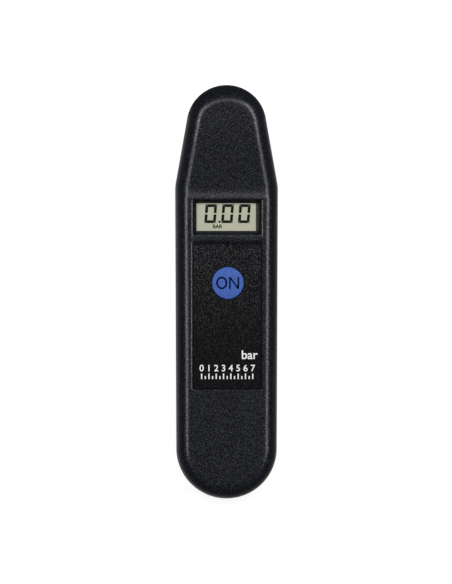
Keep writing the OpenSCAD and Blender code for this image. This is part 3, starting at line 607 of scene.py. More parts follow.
@finish
def speckled(tree, shader, colour, speck_colour, field):
    """Printed film: dark, with specks that brighten towards its top as painted light, and a plain dark band
    round its edges as painted shadow.
    """
    place = parts(tree, add(tree, "ShaderNodeTexCoord").outputs["Object"])
    fine = noise(tree, 0.24 * MM, 1)
    # Specks brighten towards the film's top: painted light.
    painted_light_rise = spread(tree, place["Y"], -24 * MM, 15 * MM, 0.28, 1)
    share = maths(tree, "MULTIPLY", spread(tree, fine, 0.58, 0.73, 0, 1), painted_light_rise)
    # No specks in a band along the film's edges: painted shadow.
    for axis, (start, end) in zip("XY", field):
        inside = maths(tree, "COMPARE", place[axis], (start + end) / 2, (end - start) / 2)
        share = maths(tree, "MULTIPLY", share, inside)
    feed(tree, shader, Base_Color=blend(tree, share, colour, speck_colour), Roughness=0.5)
    satin(tree, shader, 0.014, 0.3)
    relief(tree, shader, fine, 0.02 * MM)


@finish
def turned(tree, shader, colour, rough, pitch, centre):
    """Metal turned on a lathe, with fine rings about a centre."""
    tone = blend(tree, noise(tree, 4 * MM, 1), shade(colour, 0.9), shade(colour, 1.08))
    dull = spread(tree, noise(tree, 0.8 * MM), *MOST, rough - 0.06, rough + 0.1)
    feed(tree, shader, Base_Color=tone, Roughness=dull, Metallic=1)
    where = add(tree, "ShaderNodeTexCoord").outputs["Object"]
    rings = add(
        tree, "ShaderNodeTexWave", {"wave_type": "RINGS", "rings_direction": "SPHERICAL"},
        Vector=add(tree, "ShaderNodeMapping", Vector=where, Location=-centre).outputs["Vector"],
        Scale=WAVE / pitch, Distortion=0.6,
    )
    relief(tree, shader, rings.outputs["Fac"], 0.006 * MM, 0.6)


@finish
def clear(tree, shader):
    """Clear pane: see-through, with a mirror gloss on its outer faces that grows at low angles."""
    tree.nodes.remove(shader)
    dull = spread(tree, noise(tree, 2 * MM, 3), *MOST, 0.02, 0.09)
    grazing = add(tree, "ShaderNodeFresnel", IOR=1.35).outputs["Fac"]
    outer = spread(tree, add(tree, "ShaderNodeNewGeometry").outputs["Backfacing"], 0, 1, 1, 0)
    mix = add(tree, "ShaderNodeMixShader", Fac=maths(tree, "MULTIPLY", grazing, outer))
    fill(tree, mix.inputs[1], add(tree, "ShaderNodeBsdfTransparent").outputs["BSDF"])
    fill(tree, mix.inputs[2], add(tree, "ShaderNodeBsdfGlossy", Roughness=dull).outputs["BSDF"])
    feed(tree, tree.nodes["Material Output"], Surface=mix.outputs["Shader"])


@finish
def lifted(tree, shader, colour, glow):
    """Pale ground that is lifted towards white for the camera and in reflections."""
    rays = add(tree, "ShaderNodeLightPath").outputs
    seen = rays["Is Camera Ray"]
    for name in ("Is Glossy Ray", "Is Transmission Ray"):
        seen = maths(tree, "MAXIMUM", seen, rays[name])
    feed(
        tree, shader, Base_Color=blend(tree, noise(tree, 1 / 3, 3), shade(colour, 0.99), colour),
        Roughness=0.9, Specular_IOR_Level=0, Emission_Color=(1, 1, 1, 1),
        Emission_Strength=spread(tree, seen, 0, 1, 0, glow),
    )


def case_plastic():
    """Finish of the shells and the battery cap."""
    case = bpy.context.scene.gauge_case
    return grained("case_plastic", case.colour, case.speck_colour, case.grain, depth=0.012 * MM, rough=0.42)


def steel():
    """Finish of the plated steel."""
    colour = bpy.context.scene.gauge_fitting.steel_colour
    return moulded("plated_steel", colour, grain=0.9, depth=0.006, rough=0.3, contrast=0.12, metal=1)


def black_rubber():
    """Finish of the seals."""
    colour = 0.012, 0.012, 0.013
    return moulded("black_rubber", colour, grain=0.25, depth=0.02, rough=0.7, contrast=0.3, sheen=0.3)


def dress(piece, body, slot, material, *nodes):
    """Gives a finished piece its finish and its body, and hides the solids that it stands for."""
    piece.data.materials.clear()
    piece.data.materials.append(material)
    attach(piece, body)
    if nodes:
        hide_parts(*nodes)


def paint(material, *nodes):
    """Gives solids that stay as they are a better finish."""
    for node in nodes:
        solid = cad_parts[node]
        solid.data.materials.clear()
        solid.data.materials.append(material)


def paint_all(*rows):
    """Paints solids, each row with a finish's name and values and then its solids."""
    for name, colour, grain, depth, rough, contrast, *nodes in rows:
        paint(moulded(name, colour, grain, depth, rough, contrast), *nodes)


# Form of the case

HEAD_STEPS, NECK_STEPS, CORNER_STEPS, RAMP_STEPS, SIDE_STEPS, TAIL_STEPS = 48, 44, 10, 30, 16, 48
RAMP_PARTS = 10  # The first of so many parts of the side holds the slope between the faces
BEND_STEPS, WALL_STEPS, INSIDE_STEPS = 14, 13, 10
WALL_FOOT = 0.02  # Where the outer wall starts above the seam, as a share of its way to the face
SEAM_BEND = 0.25, 0.7  # Inset and height of the middle of the seam's bevel, as shares of the seam
LEAST_BEND = 0.02 * MM  # Least radius inside the edge of a face
FACE_SOFT = 0.16, 0.42  # Rounding of the lower and upper end of the slope in the face, as shares of it
BACK_SOFT = 0.14, 0.14  # The same for the slope in the back


def tangent_angle(across, along, radius, way):
    """Angle at which a line from a point touches a circle."""
    return math.atan2(along, across) + way * math.acos(radius / math.hypot(across, along))


def arc(x, y, radius, start, end, steps):
    """Points of an arc, each with the angle of its normal."""
    turns = [start + (end - start) * i / steps for i in range(steps + 1)]
    return [(x + radius * math.cos(turn), y + radius * math.sin(turn), turn) for turn in turns]


def between(first, last, steps):
    """Points inside a straight stretch of the outline."""
    (x, y, turn), (end_x, end_y, _) = first, last
    return [(x + (end_x - x) * i / steps, y + (end_y - y) * i / steps, turn) for i in range(1, steps)]


def right_outline(case):
    """Right half of the outline from tip to tail, and where its side starts along the case."""
    tip = case.length / 2
    head_y = tip - case.head_radius
    tail_y = case.tail_radius - tip
    shoulder_x = case.shoulder_width / 2
    shoulder_y = tip - case.shoulder_drop
    neck = tangent_angle(shoulder_x, shoulder_y - head_y, case.head_radius, 1)
    side = tangent_angle(shoulder_x, shoulder_y - tail_y, case.tail_radius, -1)
    halfway = (neck + side) / 2
    reach = case.shoulder_blend / math.cos((neck - side) / 2)
    x, y = shoulder_x - reach * math.cos(halfway), shoulder_y - reach * math.sin(halfway)
    head = arc(0, head_y, case.head_radius, math.pi / 2, neck, HEAD_STEPS)
    corner = arc(x, y, case.shoulder_blend, neck, side, CORNER_STEPS)
    tail = arc(0, tail_y, case.tail_radius, side, -math.pi / 2, TAIL_STEPS)
    start = corner[-1]
    ramp_end = between(start, tail[0], RAMP_PARTS)[0]
    outline = head + between(head[-1], corner[0], NECK_STEPS) + corner
    outline += between(start, ramp_end, RAMP_STEPS) + [ramp_end]
    outline += between(ramp_end, tail[0], SIDE_STEPS) + tail
    return outline, start[1]


def ease(value, soft):
    """The positive part of a value, with a rounded start."""
    if value <= -soft:
        return 0.0
    return value if value >= soft else (value + soft) ** 2 / (4 * soft)


def slope(value, soft_low, soft_high):
    """A rise from 0 to 1 with both its ends rounded."""
    return ease(value, soft_low) - ease(value - 1, soft_high)


def wall_point(edge, depth_in, share):
    """Inset and height on a wall that rises on an arc and turns into the face."""
    inset, turn, depth = edge
    radius = (inset ** 2 + (depth - turn) ** 2 - turn ** 2) / (2 * (inset - turn))
    end = math.atan2(depth - turn, radius - inset)
    if share <= 0.5:
        bend = end * 2 * share
        return radius - (radius - depth_in) * math.cos(bend), (radius - depth_in) * math.sin(bend)
    bend = end + (math.pi / 2 - end) * (2 * share - 1)
    reach = max(turn - depth_in, LEAST_BEND)
    return inset - reach * math.cos(bend), depth - turn + reach * math.sin(bend)


def shell(name, case, edge_at, way):
    """Hollow half of the case, open at the parting plane."""
    right, _ = right_outline(case)
    loop = right + [(-x, y, math.pi - turn) for x, y, turn in right[-2:0:-1]]
    edges = [edge_at(y, turn) for _, y, turn in loop]
    count = len(loop)
    shares = [0.5 + 0.5 * i / BEND_STEPS for i in range(BEND_STEPS, 0, -1)]
    shares += [WALL_FOOT + (0.5 - WALL_FOOT) * i / WALL_STEPS for i in range(WALL_STEPS, -1, -1)]
    rings = [[wall_point(edge, 0, share) for edge in edges] for share in shares]
    bend_in, bend_up = SEAM_BEND
    for seam_point in ((case.seam * bend_in, case.seam * bend_up), (case.seam, 0), (case.wall, 0)):
        rings.append([seam_point] * count)
    for i in range(1, INSIDE_STEPS + 1):
        rings.append([wall_point(edge, case.wall, i / INSIDE_STEPS) for edge in edges])
    points = []
    for ring in rings:
        for (x, y, turn), (inset, height) in zip(loop, ring):
            z = case.rear_depth + way * height
            points.append((x - inset * math.cos(turn), y - inset * math.sin(turn), z))
    faces = bands(len(rings), count)
    for start in (0, (len(rings) - 1) * count):
        for i in range(len(right) - 1):
            corners = dict.fromkeys((i, i + 1, (count - i - 1) % count, (count - i) % count))
            faces.append(tuple(start + corner for corner in corners))
    return mesh_of(name, points, faces)


def screw_places(scene):
    """Middle of each case screw: two near the head and two in the tail."""
    low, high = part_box("case_screws")
    rim = scene.gauge_fitting.head / 2
    tail_x = scene.gauge_case.tail_radius - scene.gauge_fitting.tail_margin
    ends = (high.x - rim, high.y - rim), (tail_x, low.y + rim)
    return [(side * x, y) for x, y in ends for side in (-1, 1)]


def stepped_bore(name, x, y, wide, ledge, narrow, end, edge, steps):
    """Cutter from the back with a rounded mouth, narrower past a ledge."""
    profile = [(0, -PAST), (wide + edge, -PAST)]
    profile += [(wide + out, drop) for out, drop in quarter(edge, 4)]
    profile += [(wide, ledge), (narrow, ledge), (narrow, end), (0, end)]
    return lathe(name, profile, x, y, steps)


def button_hole(button, low, high):
    """Cutter for the hole that the button moves in."""
    radius = button.diameter / 2 + button.gap
    return tube("button_hole", button.x, button.y, low - PAST, high + PAST, radius, 96)


class GAUGE_OT_case(Operator):
    """Build the front and rear shells of the case"""
    bl_idname = "gauge.case"
    bl_label = "Case shells"

    def display_opening(self, scene, face):
        """Cutter with leaning walls, wider at the face, whose lower edge runs out into the face."""
        show = scene.gauge_display
        wide, tall = show.opening_width / 2, show.opening_height / 2
        loops = []
        for drop in drops(show.sill_depth) + [show.opening_depth]:
            depth = max(0, drop)
            lean = show.slope * depth / scene.gauge_case.wall
            flare = max(0, 1 - depth / show.mouth_depth)
            foot = show.sill * max(0, 1 - math.sqrt(depth / show.sill_depth))
            side = wide - lean + show.mouth * flare
            low = show.opening_y - tall + lean - foot
            high = show.opening_y + tall - lean + show.mouth_top * flare
            loops.append(rounded_loop(-side, side, low, high, show.opening_corner, face - drop))
        return loft("opening", loops)

    def label_recess(self, label, face):
        """Cutter for the film's recess, bevelled on the left and at the foot and rounded at the top."""
        loops = []
        for drop in drops(label.recess):
            depth = max(0, drop)
            flare = max(0, 1 - depth / label.bevel_depth)
            left = -label.width / 2 - label.bevel * flare
            low = label.top - label.length - label.foot_bevel * flare
            high = label.top + label.brow * (1 - math.sqrt(depth / label.recess))
            loops.append(rounded_loop(left, label.width / 2, low, high, label.corner, face - drop))
        return loft("recess", loops)

    def front(self, scene):
        """Front shell with its bosses, display opening, recess and button hole."""
        case, fitting = scene.gauge_case, scene.gauge_fitting
        _, side_start = right_outline(case)
        ramp_low = side_start - case.face_ramp

        def edge_at(y, turn):
            share = slope((y - ramp_low) / case.face_ramp, *FACE_SOFT)
            up, down = max(0, math.sin(turn)) ** 2, max(0, -math.sin(turn)) ** 2
            head = case.head_face_inset + (case.tip_inset - case.head_face_inset) * up
            body = case.face_inset + (case.tail_inset - case.face_inset) * down
            inset = body + (head - body) * share
            return inset, inset - case.face_lean, case.front_depth - case.head_face_step * share

        piece = shell("front_case", case, edge_at, 1)
        face = case.rear_depth + case.front_depth
        inner = face - case.wall
        for x, y in screw_places(scene):
            top = inner - (case.head_face_step if y > 0 else 0) + fitting.boss_root
            carve(piece, tube("boss", x, y, case.rear_depth, top, fitting.boss), "UNION")
            carve(piece, tube("pilot", x, y, case.rear_depth - PAST, fitting.pilot_end, fitting.pilot))
        carve(piece, self.display_opening(scene, face))
        carve(piece, self.label_recess(scene.gauge_label, face))
        carve(piece, button_hole(scene.gauge_button, inner, face))
        smooth(piece)
        dress(piece, "case", "case", case_plastic(), "front_shell")

    def rear(self, scene):
        """Rear shell with its screw wells, battery opening and nozzle hole."""
        case, fitting, cap = scene.gauge_case, scene.gauge_fitting, scene.gauge_cap
        ramp_low = case.head_back_y - case.back_ramp

        def edge_at(y, turn):
            share = slope((y - ramp_low) / case.back_ramp, *BACK_SOFT)
            return (
                case.back_inset + (case.head_back_inset - case.back_inset) * share,
                case.back_round + (case.head_back_round - case.back_round) * share,
                case.rear_depth - case.head_back_step * share,
            )

        piece = shell("rear_case", case, edge_at, -1)
        root = case.wall / 2
        cap_x, cap_y, _ = middle("battery_cap")
        carve(piece, tube("pad", cap_x, cap_y, root, cap.pad_top, cap.pad, 96), "UNION")
        for x, y in screw_places(scene):
            carve(piece, tube("pillar", x, y, root, case.rear_depth, fitting.pillar), "UNION")
            carve(piece, stepped_bore(
                "well", x, y, fitting.well_radius, fitting.well, fitting.shank_hole, case.rear_depth + PAST,
                fitting.mouth_edge, 64,
            ))
        carve(piece, stepped_bore(
            "cap_opening", cap_x, cap_y, cap.opening, cap.ledge, cap.throat, cap.throat_end,
            fitting.mouth_edge, 128,
        ))
        nozzle_y = middle("nozzle").y
        carve(piece, tube("nozzle_hole", 0, nozzle_y, -PAST, case.rear_depth, fitting.nozzle_hole, 96))
        smooth(piece)
        dress(piece, "case", "case", case_plastic(), "rear_shell")

    def execute(self, context):
        self.front(context.scene)
        self.rear(context.scene)
        return {"FINISHED"}


# Print and geometry trees

NUMBER_WEIGHT = 0.04 * MM  # How much the strokes of the printed numbers are thickened
UNIT_WEIGHT = 0.05 * MM  # The same for the units


def lettering(name, words, height, x, y, z, thick, weight, align="CENTER"):
    """Upright plain words as a thin mesh, standing on a line."""
    curve = bpy.data.curves.new(name, "FONT")
    curve.body = words
    curve.size = height / CAPITAL
    curve.align_x = align
    curve.extrude = thick / 2
    curve.offset = weight
    writing = add_piece(name, curve)
    mesh = plain_mesh(writing)
    bpy.data.objects.remove(writing)
    mesh.transform(Matrix.Translation((x, y, z + thick / 2)))
    return add_piece(name, mesh)


def new_tree(name, **inputs):
    """Geometry tree with named inputs, and what comes into it and goes out."""
    tree = bpy.data.node_groups.new(name, "GeometryNodeTree")
    for label, kind in {"Geometry": "Geometry", **inputs}.items():
        tree.interface.new_socket(label, in_out="INPUT", socket_type="NodeSocket" + kind)
    tree.interface.new_socket("Geometry", in_out="OUTPUT", socket_type="NodeSocketGeometry")
    return tree, tree.nodes.new("NodeGroupInput").outputs, tree.nodes.new("NodeGroupOutput")


def realized(tree, copies):
    """Plain geometry in place of copies."""
    return add(tree, "GeometryNodeRealizeInstances", Geometry=copies.outputs["Instances"]).outputs["Geometry"]


def end_tree(tree, geometry, enter, leave):
    """Gives the geometry its finish and lets it out of the tree."""
    done = add(tree, "GeometryNodeSetMaterial", Geometry=geometry, Material=enter["Finish"])
    feed(tree, leave, Geometry=done.outputs["Geometry"])


def grow(piece, tree, **values):
    """Runs a geometry tree on a piece with its inputs set, and keeps the plain mesh."""
    step = piece.modifiers.new(tree.name, "NODES")
    step.node_group = tree
    for item in tree.interface.items_tree:
        if item.in_out == "INPUT" and item.name in values:
            step[item.identifier] = values[item.name]
    settle(piece)
    bpy.data.node_groups.remove(tree)


class GAUGE_OT_label(Operator):
    """Build the label film and its printed scale"""
    bl_idname = "gauge.label"
    bl_label = "Label film"

    def ticks(self, label, top, ink):
        """Row of ticks that stand on a line, every other one short."""
        tree, enter, leave = new_tree(
            "Tick row", Count="Int", Pitch="Float", Start="Vector", Tick="Vector", Short="Float",
            Finish="Material",
        )
        line = add(
            tree, "GeometryNodeMeshLine", Count=enter["Count"], Start_Location=enter["Start"],
            Offset=vector(tree, X=enter["Pitch"]),
        )
        box = add(tree, "GeometryNodeMeshCube", Size=enter["Tick"])
        half = maths(tree, "MULTIPLY", enter["Tick"], (0, 0.5, 0.5), kind="ShaderNodeVectorMath")
        tick = add(tree, "GeometryNodeTransform", Geometry=box.outputs["Mesh"], Translation=half)
        odd = maths(tree, "MODULO", add(tree, "GeometryNodeInputIndex").outputs["Index"], 2)
        tall = add(tree, "ShaderNodeMix", {"data_type": "FLOAT"}, Factor=odd, A=1, B=enter["Short"])
        row = add(
            tree, "GeometryNodeInstanceOnPoints", Points=line.outputs["Mesh"],
            Instance=tick.outputs["Geometry"], Scale=vector(tree, X=1, Y=tall.outputs["Result"], Z=1),
        )
        end_tree(tree, realized(tree, row), enter, leave)
        piece = mesh_of("ticks", [(0, 0, 0)], [])
        grow(
            piece, tree, Count=label.tick_count, Pitch=label.tick_pitch,
            Start=(label.print_left, label.print_foot, top),
            Tick=(label.tick_width, label.tick_height, label.ink), Short=label.short_tick, Finish=ink,
        )
        return piece

    def scale(self, label, top):
        """Ticks with a number at each long one, and the unit above them."""
        ink = moulded("white_ink", label.print_colour, grain=0.3, depth=0.004, rough=0.5, contrast=0.04)
        words = [self.ticks(label, top, ink)]
        y = label.print_foot + label.number_rise
        for i in range((label.tick_count + 1) // 2):
            x = label.print_left + 2 * i * label.tick_pitch
            number = lettering("number", str(i), label.number_height, x, y, top, label.ink, NUMBER_WEIGHT)
            words.append(number)
        y = label.print_foot + label.unit_rise
        words.append(lettering(
            "unit", "bar", label.unit_height, label.unit_right, y, top, label.ink, UNIT_WEIGHT, "RIGHT",
        ))
        dress(join("label_print", words), "case", "label", ink)

    def execute(self, context):
        scene = context.scene
        case, label = scene.gauge_case, scene.gauge_label
        floor = case.rear_depth + case.front_depth - label.recess
        top = floor + label.thick
        left, right = label.gap - label.width / 2, label.width / 2 - label.gap
        low, high = label.top - label.length + label.gap, label.top - label.gap
        loops = [rounded_loop(left, right, low, high, label.corner, floor)]
        for cut, drop in reversed(quarter(label.edge, 3)):
            loops.append(rounded_loop(
                left + cut, right - cut, low + cut, high - cut, label.corner - cut, top - drop,
            ))
        film = loft("label_sheet", loops)
        carve(film, button_hole(scene.gauge_button, floor, top))
        smooth(film)
        # Specks stop short of the film's edges, leaving a dark band: painted shadow of the gap round the
        # film.
        edge = label.border
        field = (left + edge, right - edge), (low + edge, high - edge)
        specks = speckled("label_film", label.film_colour, label.speck_colour, field)
        dress(film, "case", "label", specks, "label_film")
        self.scale(label, top)
        return {"FINISHED"}


class GAUGE_OT_button(Operator):
    """Build the press button and its lettering"""
    bl_idname = "gauge.button"
    bl_label = "Press button"

    def round_letter(self, button, base, top):
        """Oval ring."""
        x, y = button.x + button.round_x, button.y + button.round_y
        steps = 72
        turns = [math.tau * i / steps for i in range(steps)]
        loops = []
        for inset, z in ((0, base), (0, top), (button.round_stroke, top), (button.round_stroke, base)):
            across, up = button.round_width / 2 - inset, button.round_height / 2 - inset
            loops.append([(x + across * math.cos(turn), y + up * math.sin(turn), z) for turn in turns])
        return loft("letter", loops, closed=True)

    def straight_letter(self, button, base, top):
        """Two uprights with a slanting stroke between them."""
        wide, tall, stroke = button.straight_width, button.straight_height, button.straight_stroke
        shape = [
            (0, 0), (stroke, 0), (stroke, tall - button.kick), (wide - stroke, 0), (wide, 0),
            (wide, tall), (wide - stroke, tall), (wide - stroke, button.kick), (stroke, tall), (0, tall),
        ]
        x, y = button.x + button.straight_x - wide / 2, button.y - tall / 2
        return loft("letter", [[(x + across, y + up, z) for across, up in shape] for z in (base, top)])

    def execute(self, context):
        button = context.scene.gauge_button
        low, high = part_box("on_button")
        radius, lip = button.diameter / 2, (high.x - low.x) / 2
        ledge, roof = low.z + button.lip, high.z - button.ink
        profile = [(0, low.z), (lip, low.z), (lip, ledge), (radius, ledge)]
        profile += [(radius - inset, roof - drop) for inset, drop in reversed(quarter(button.edge, 6))]
        cap = lathe("button_cap", profile + [(radius / 2, roof), (0, roof)], button.x, button.y, 128)
        smooth(cap)
        blue = moulded(
            "blue_plastic", button.colour, grain=0.45, depth=0.012, rough=0.42, contrast=0.3, sheen=0.35,
        )
        dress(cap, "button", "button", blue, "on_button")
        base = roof - button.ink_root
        letters = [self.round_letter(button, base, high.z), self.straight_letter(button, base, high.z)]
        navy = moulded(
            "navy_ink", button.letter_colour, grain=0.3, depth=0.004, rough=0.6, contrast=0.1, sheen=0.03,
        )
        dress(join("button_lettering", letters), "button", "button", navy)
        return {"FINISHED"}


class GAUGE_OT_display(Operator):
    """Build the display, its digits and its pane"""
    bl_idname = "gauge.display"
    bl_label = "Display"

    def segment_tree(self):
        """Tree that sets mitred bars on points, by the kind and turn kept there, and slants them all."""
        tree, enter, leave = new_tree(
            "Lit segments", Across="Float", Upright="Float", Width="Float", Thickness="Float", Mitre="Float",
            Trim="Float", Slant="Float", Foot="Float", Finish="Material",
        )
        where = parts(tree, add(tree, "GeometryNodeInputPosition").outputs["Position"])
        inner = maths(tree, "LESS_THAN", where["Y"], 0)
        bars = []
        for length, right, left in (
            ("Across", "Mitre", "Mitre"), ("Upright", "Mitre", "Trim"), ("Upright", "Trim", "Mitre"),
        ):
            extent = vector(tree, X=enter[length], Y=enter["Width"], Z=enter["Thickness"])
            box = add(tree, "GeometryNodeMeshCube", Size=extent).outputs["Mesh"]
            right_cut = maths(tree, "MULTIPLY", maths(tree, "GREATER_THAN", where["X"], 0), enter[right])
            left_cut = maths(tree, "MULTIPLY", maths(tree, "LESS_THAN", where["X"], 0), enter[left])
            shift = maths(tree, "MULTIPLY", maths(tree, "SUBTRACT", left_cut, right_cut), inner)
            bar = add(tree, "GeometryNodeSetPosition", Geometry=box, Offset=vector(tree, X=shift))
            bars.append(add(tree, "GeometryNodeGeometryToInstance", Geometry=bar.outputs["Geometry"]))
        choice = add(tree, "GeometryNodeJoinGeometry")
        # The link that is made last comes first in a join.
        for bar in reversed(bars):
            feed(tree, choice, Geometry=bar.outputs["Instances"])
        kind = add(tree, "GeometryNodeInputNamedAttribute", {"data_type": "INT"}, Name="kind")
        turn = add(tree, "GeometryNodeInputNamedAttribute", {"data_type": "FLOAT"}, Name="turn")
        copies = add(
            tree, "GeometryNodeInstanceOnPoints", Points=enter["Geometry"],
            Instance=choice.outputs["Geometry"], Pick_Instance=True,
            Instance_Index=kind.outputs["Attribute"], Rotation=vector(tree, Z=turn.outputs["Attribute"]),
        )
        rise = maths(tree, "SUBTRACT", where["Y"], enter["Foot"])
        lean = vector(tree, X=maths(tree, "MULTIPLY", rise, maths(tree, "TANGENT", enter["Slant"])))
        leaned = add(tree, "GeometryNodeSetPosition", Geometry=realized(tree, copies), Offset=lean)
        end_tree(tree, leaned.outputs["Geometry"], enter, leave)
        return tree

    def digits(self, show, top, ink):
        """Digits with all segments lit but the one in the middle."""
        half_wide, half_tall, half_bar = show.digit_width / 2, show.digit_height / 2, show.bar / 2
        upright = half_tall - show.corner - show.waist / 2
        rise = (show.waist + upright) / 2
        y = show.digit_low + half_tall
        spots, turns, kinds = [], [], []
        for i in range(show.digit_count):
            x = show.digit_left + i * show.digit_pitch - half_tall * math.tan(show.slant)
            for turn, across, up, kind in (
                (0, 0, half_tall - half_bar, 0),
                (math.pi, 0, half_bar - half_tall, 0),
                (math.pi / 2, half_bar - half_wide, rise, 1),
                (math.pi / 2, half_bar - half_wide, -rise, 2),
                (-math.pi / 2, half_wide - half_bar, rise, 2),
                (-math.pi / 2, half_wide - half_bar, -rise, 1),
            ):
                spots.append((x + across, y + up, top + show.ink / 2))
                turns.append(turn)
                kinds.append(kind)
        mesh = bpy.data.meshes.new("digits")
        mesh.from_pydata(spots, [], [])
        mesh.attributes.new("turn", "FLOAT", "POINT").data.foreach_set("value", turns)
        mesh.attributes.new("kind", "INT", "POINT").data.foreach_set("value", kinds)
        piece = add_piece("digits", mesh)
        grow(
            piece, self.segment_tree(), Across=show.digit_width - 2 * show.corner, Upright=upright,
            Width=show.bar, Thickness=show.ink, Mitre=show.bar - show.corner, Trim=show.trim,
            Slant=show.slant, Foot=show.digit_low, Finish=ink,
        )
        return piece

    def execute(self, context):
        show = context.scene.gauge_display
        low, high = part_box("lcd_polarizer")
        edge = show.screen_edge
        screen = loft("display_screen", [
            rounded_loop(low.x + cut, high.x - cut, low.y + cut, high.y - cut, show.screen_corner, z)
            for cut, z in ((0, low.z), (0, high.z - edge), (edge, high.z))
        ])
        smooth(screen)
        film = moulded(
            "display_film", show.screen_colour, grain=1.6, depth=0.002, rough=0.4, contrast=0.03, sheen=0.3,
        )
        dress(screen, "case", "lcd_film", film, "lcd_polarizer")
        ink = moulded(
            "display_ink", show.segment_colour, grain=0.5, depth=0.002, rough=0.45, contrast=0.12, sheen=0.05,
        )
        right, top = show.point_left + show.point_width, show.point_low + show.point_height
        point = loft("point", [
            rounded_loop(show.point_left, right, show.point_low, top, show.point_corner, z)
            for z in (high.z, high.z + show.ink)
        ])
        unit = lettering(
            "unit", "BAR", show.unit_height, show.unit_x, show.unit_low, high.z, show.ink, UNIT_WEIGHT,
        )
        lit = join("display_digits", [self.digits(show, high.z, ink), point, unit])
        dress(lit, "case", "lcd_film", ink)
        paint(clear("clear_pane"), "lcd_window")
        mask = moulded(
            "display_mask", (0.004, 0.004, 0.0045), grain=0.3, depth=0.01, rough=0.6, contrast=0.2, sheen=0.2,
        )
        paint(mask, "lcd_gasket")
        paint_all(
            (
                "display_glass", (0.055, 0.05, 0.04), 1.5, 0.003, 0.25, 0.1,
                "lcd_front_glass", "lcd_rear_glass",
            ),
            ("display_backing", (0.4, 0.41, 0.33), 0.8, 0.01, 0.4, 0.08, "lcd_reflector"),
            ("display_frame", (0.02, 0.02, 0.022), 0.4, 0.02, 0.5, 0.2, "lcd_frame"),
            ("layered_rubber", (0.42, 0.22, 0.25), 0.3, 0.02, 0.65, 0.35, "lcd_connector"),
        )
        return {"FINISHED"}


def screw_form(head, head_height, thread, length, seat):
    """Pan-head screw standing on its head, with a cross recess and a ribbed thread."""
    z, end = seat - head_height, seat + length
    profile = [(0, z)] + [(head / 2 - inset, z + drop) for inset, drop in quarter(head_height * 0.3, 5)]
    profile += [(head / 2, seat), (thread / 2, seat)]
    pitch, root = thread * 0.3, thread * 0.38
    for i in range(int(length / pitch) - 1):
        foot = seat + pitch * (i + 0.3)
        profile += [(root, foot), (thread / 2, foot + pitch * 0.45), (root, foot + pitch * 0.9)]
    profile += [(thread * 0.3, end - thread * 0.2), (0, end)]
    piece = lathe("pattern", profile, 0, 0, 40)
    long, short = head * 0.3, head * 0.05
    taper, depth, corner = 0.8, head_height * 0.6, head * 0.02
    for wide, tall in ((short, long), (long, short)):
        carve(piece, loft("cross", [
            rounded_loop(-wide * share, wide * share, -tall * share, tall * share, corner, level, 2)
            for share, level in ((1, z - PAST), (taper, z + depth))
        ]))
    smooth(piece)
    return piece


class GAUGE_OT_screws(Operator):
    """Set the case screws and the board screws"""
    bl_idname = "gauge.screws"
    bl_label = "Screws"

    def set_out(self, name, pattern, places):
        """Copies of one screw at their places."""
        tree, enter, leave = new_tree("Screw set", Screw="Object", Finish="Material")
        form = add(tree, "GeometryNodeObjectInfo", Object=enter["Screw"]).outputs["Geometry"]
        copies = add(tree, "GeometryNodeInstanceOnPoints", Points=enter["Geometry"], Instance=form)
        end_tree(tree, realized(tree, copies), enter, leave)
        piece = mesh_of(name, [(x, y, 0) for x, y in places], [])
        grow(piece, tree, Screw=pattern, Finish=steel())
        bpy.data.objects.remove(pattern)
        return piece

    def execute(self, context):
        fitting = context.scene.gauge_fitting
        pattern = screw_form(
            fitting.head, fitting.head_height, fitting.thread, fitting.thread_length, fitting.well,
        )
        piece = self.set_out("case_screw_set", pattern, screw_places(context.scene))
        dress(piece, "case", "steel", steel(), "case_screws")
        pattern = screw_form(
            fitting.board_head, fitting.board_head_height, fitting.board_thread, fitting.board_thread_length,
            fitting.board_low,
        )
        low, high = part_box("board_screws")
        rim = fitting.board_head / 2
        places = [(x, y) for x in (low.x + rim, high.x - rim) for y in (low.y + rim, high.y - rim)]
        dress(self.set_out("board_screw_set", pattern, places), "case", "steel", steel(), "board_screws")
        return {"FINISHED"}


class GAUGE_OT_nozzle(Operator):
    """Build the brass nozzle and finish its seals"""
    bl_idname = "gauge.nozzle"
    bl_label = "Nozzle"

    def profile(self):
        """Radius and height of the nozzle's section, listed in millimetres from the tube's seat on."""
        bore = [
            (2.77, 11), (2.77, 9.8), (1.3, 9.8), (1.3, 8.6), (4.1, 8.6),
            (4.1, 8), (4.8, 8), (4.8, 6.4), (4.1, 6.4), (4.1, 0.9),
        ]
        mouth = [(4.6, 0.4), (5.9, 0.4), (6.1, 0.48), (6.2, 0.7)]
        collar = [
            (6.2, 2.4), (6.35, 2.6), (7.7, 2.6), (7.93, 2.7), (8, 2.95), (8, 4.65), (7.93, 4.9), (7.7, 5),
        ]
        root, crest, pitch, start = 5.75, 6, 0.5, 5.5
        thread = [(crest, 5)]
        for i in range(8):
            foot = start + pitch * i
            thread += [(root, foot), (crest, foot + 0.2), (crest, foot + 0.3), (root, foot + 0.48)]
        end = [(5.9, 9.6), (4.6, 9.6), (4.6, 10.8), (4.4, 11)]
        return [(radius * MM, z * MM) for radius, z in bore + mouth + collar + thread + end]

    def execute(self, context):
        y = middle("nozzle").y
        piece = lathe("nozzle_body", self.profile(), 0, y, 128, True)
        smooth(piece)
        colour = context.scene.gauge_fitting.brass_colour
        brass = turned("turned_brass", colour, rough=0.26, pitch=0.3 * MM, centre=Vector((0, y, 5 * MM)))
        dress(piece, "case", "brass", brass, "nozzle")
        paint(brass, "nozzle_nut")
        paint(black_rubber(), "nozzle_washer", "valve_seal", "sensor_oring", "battery_cap_seal")
        paint(steel(), "valve_pin", "pressure_sensor")
        return {"FINISHED"}


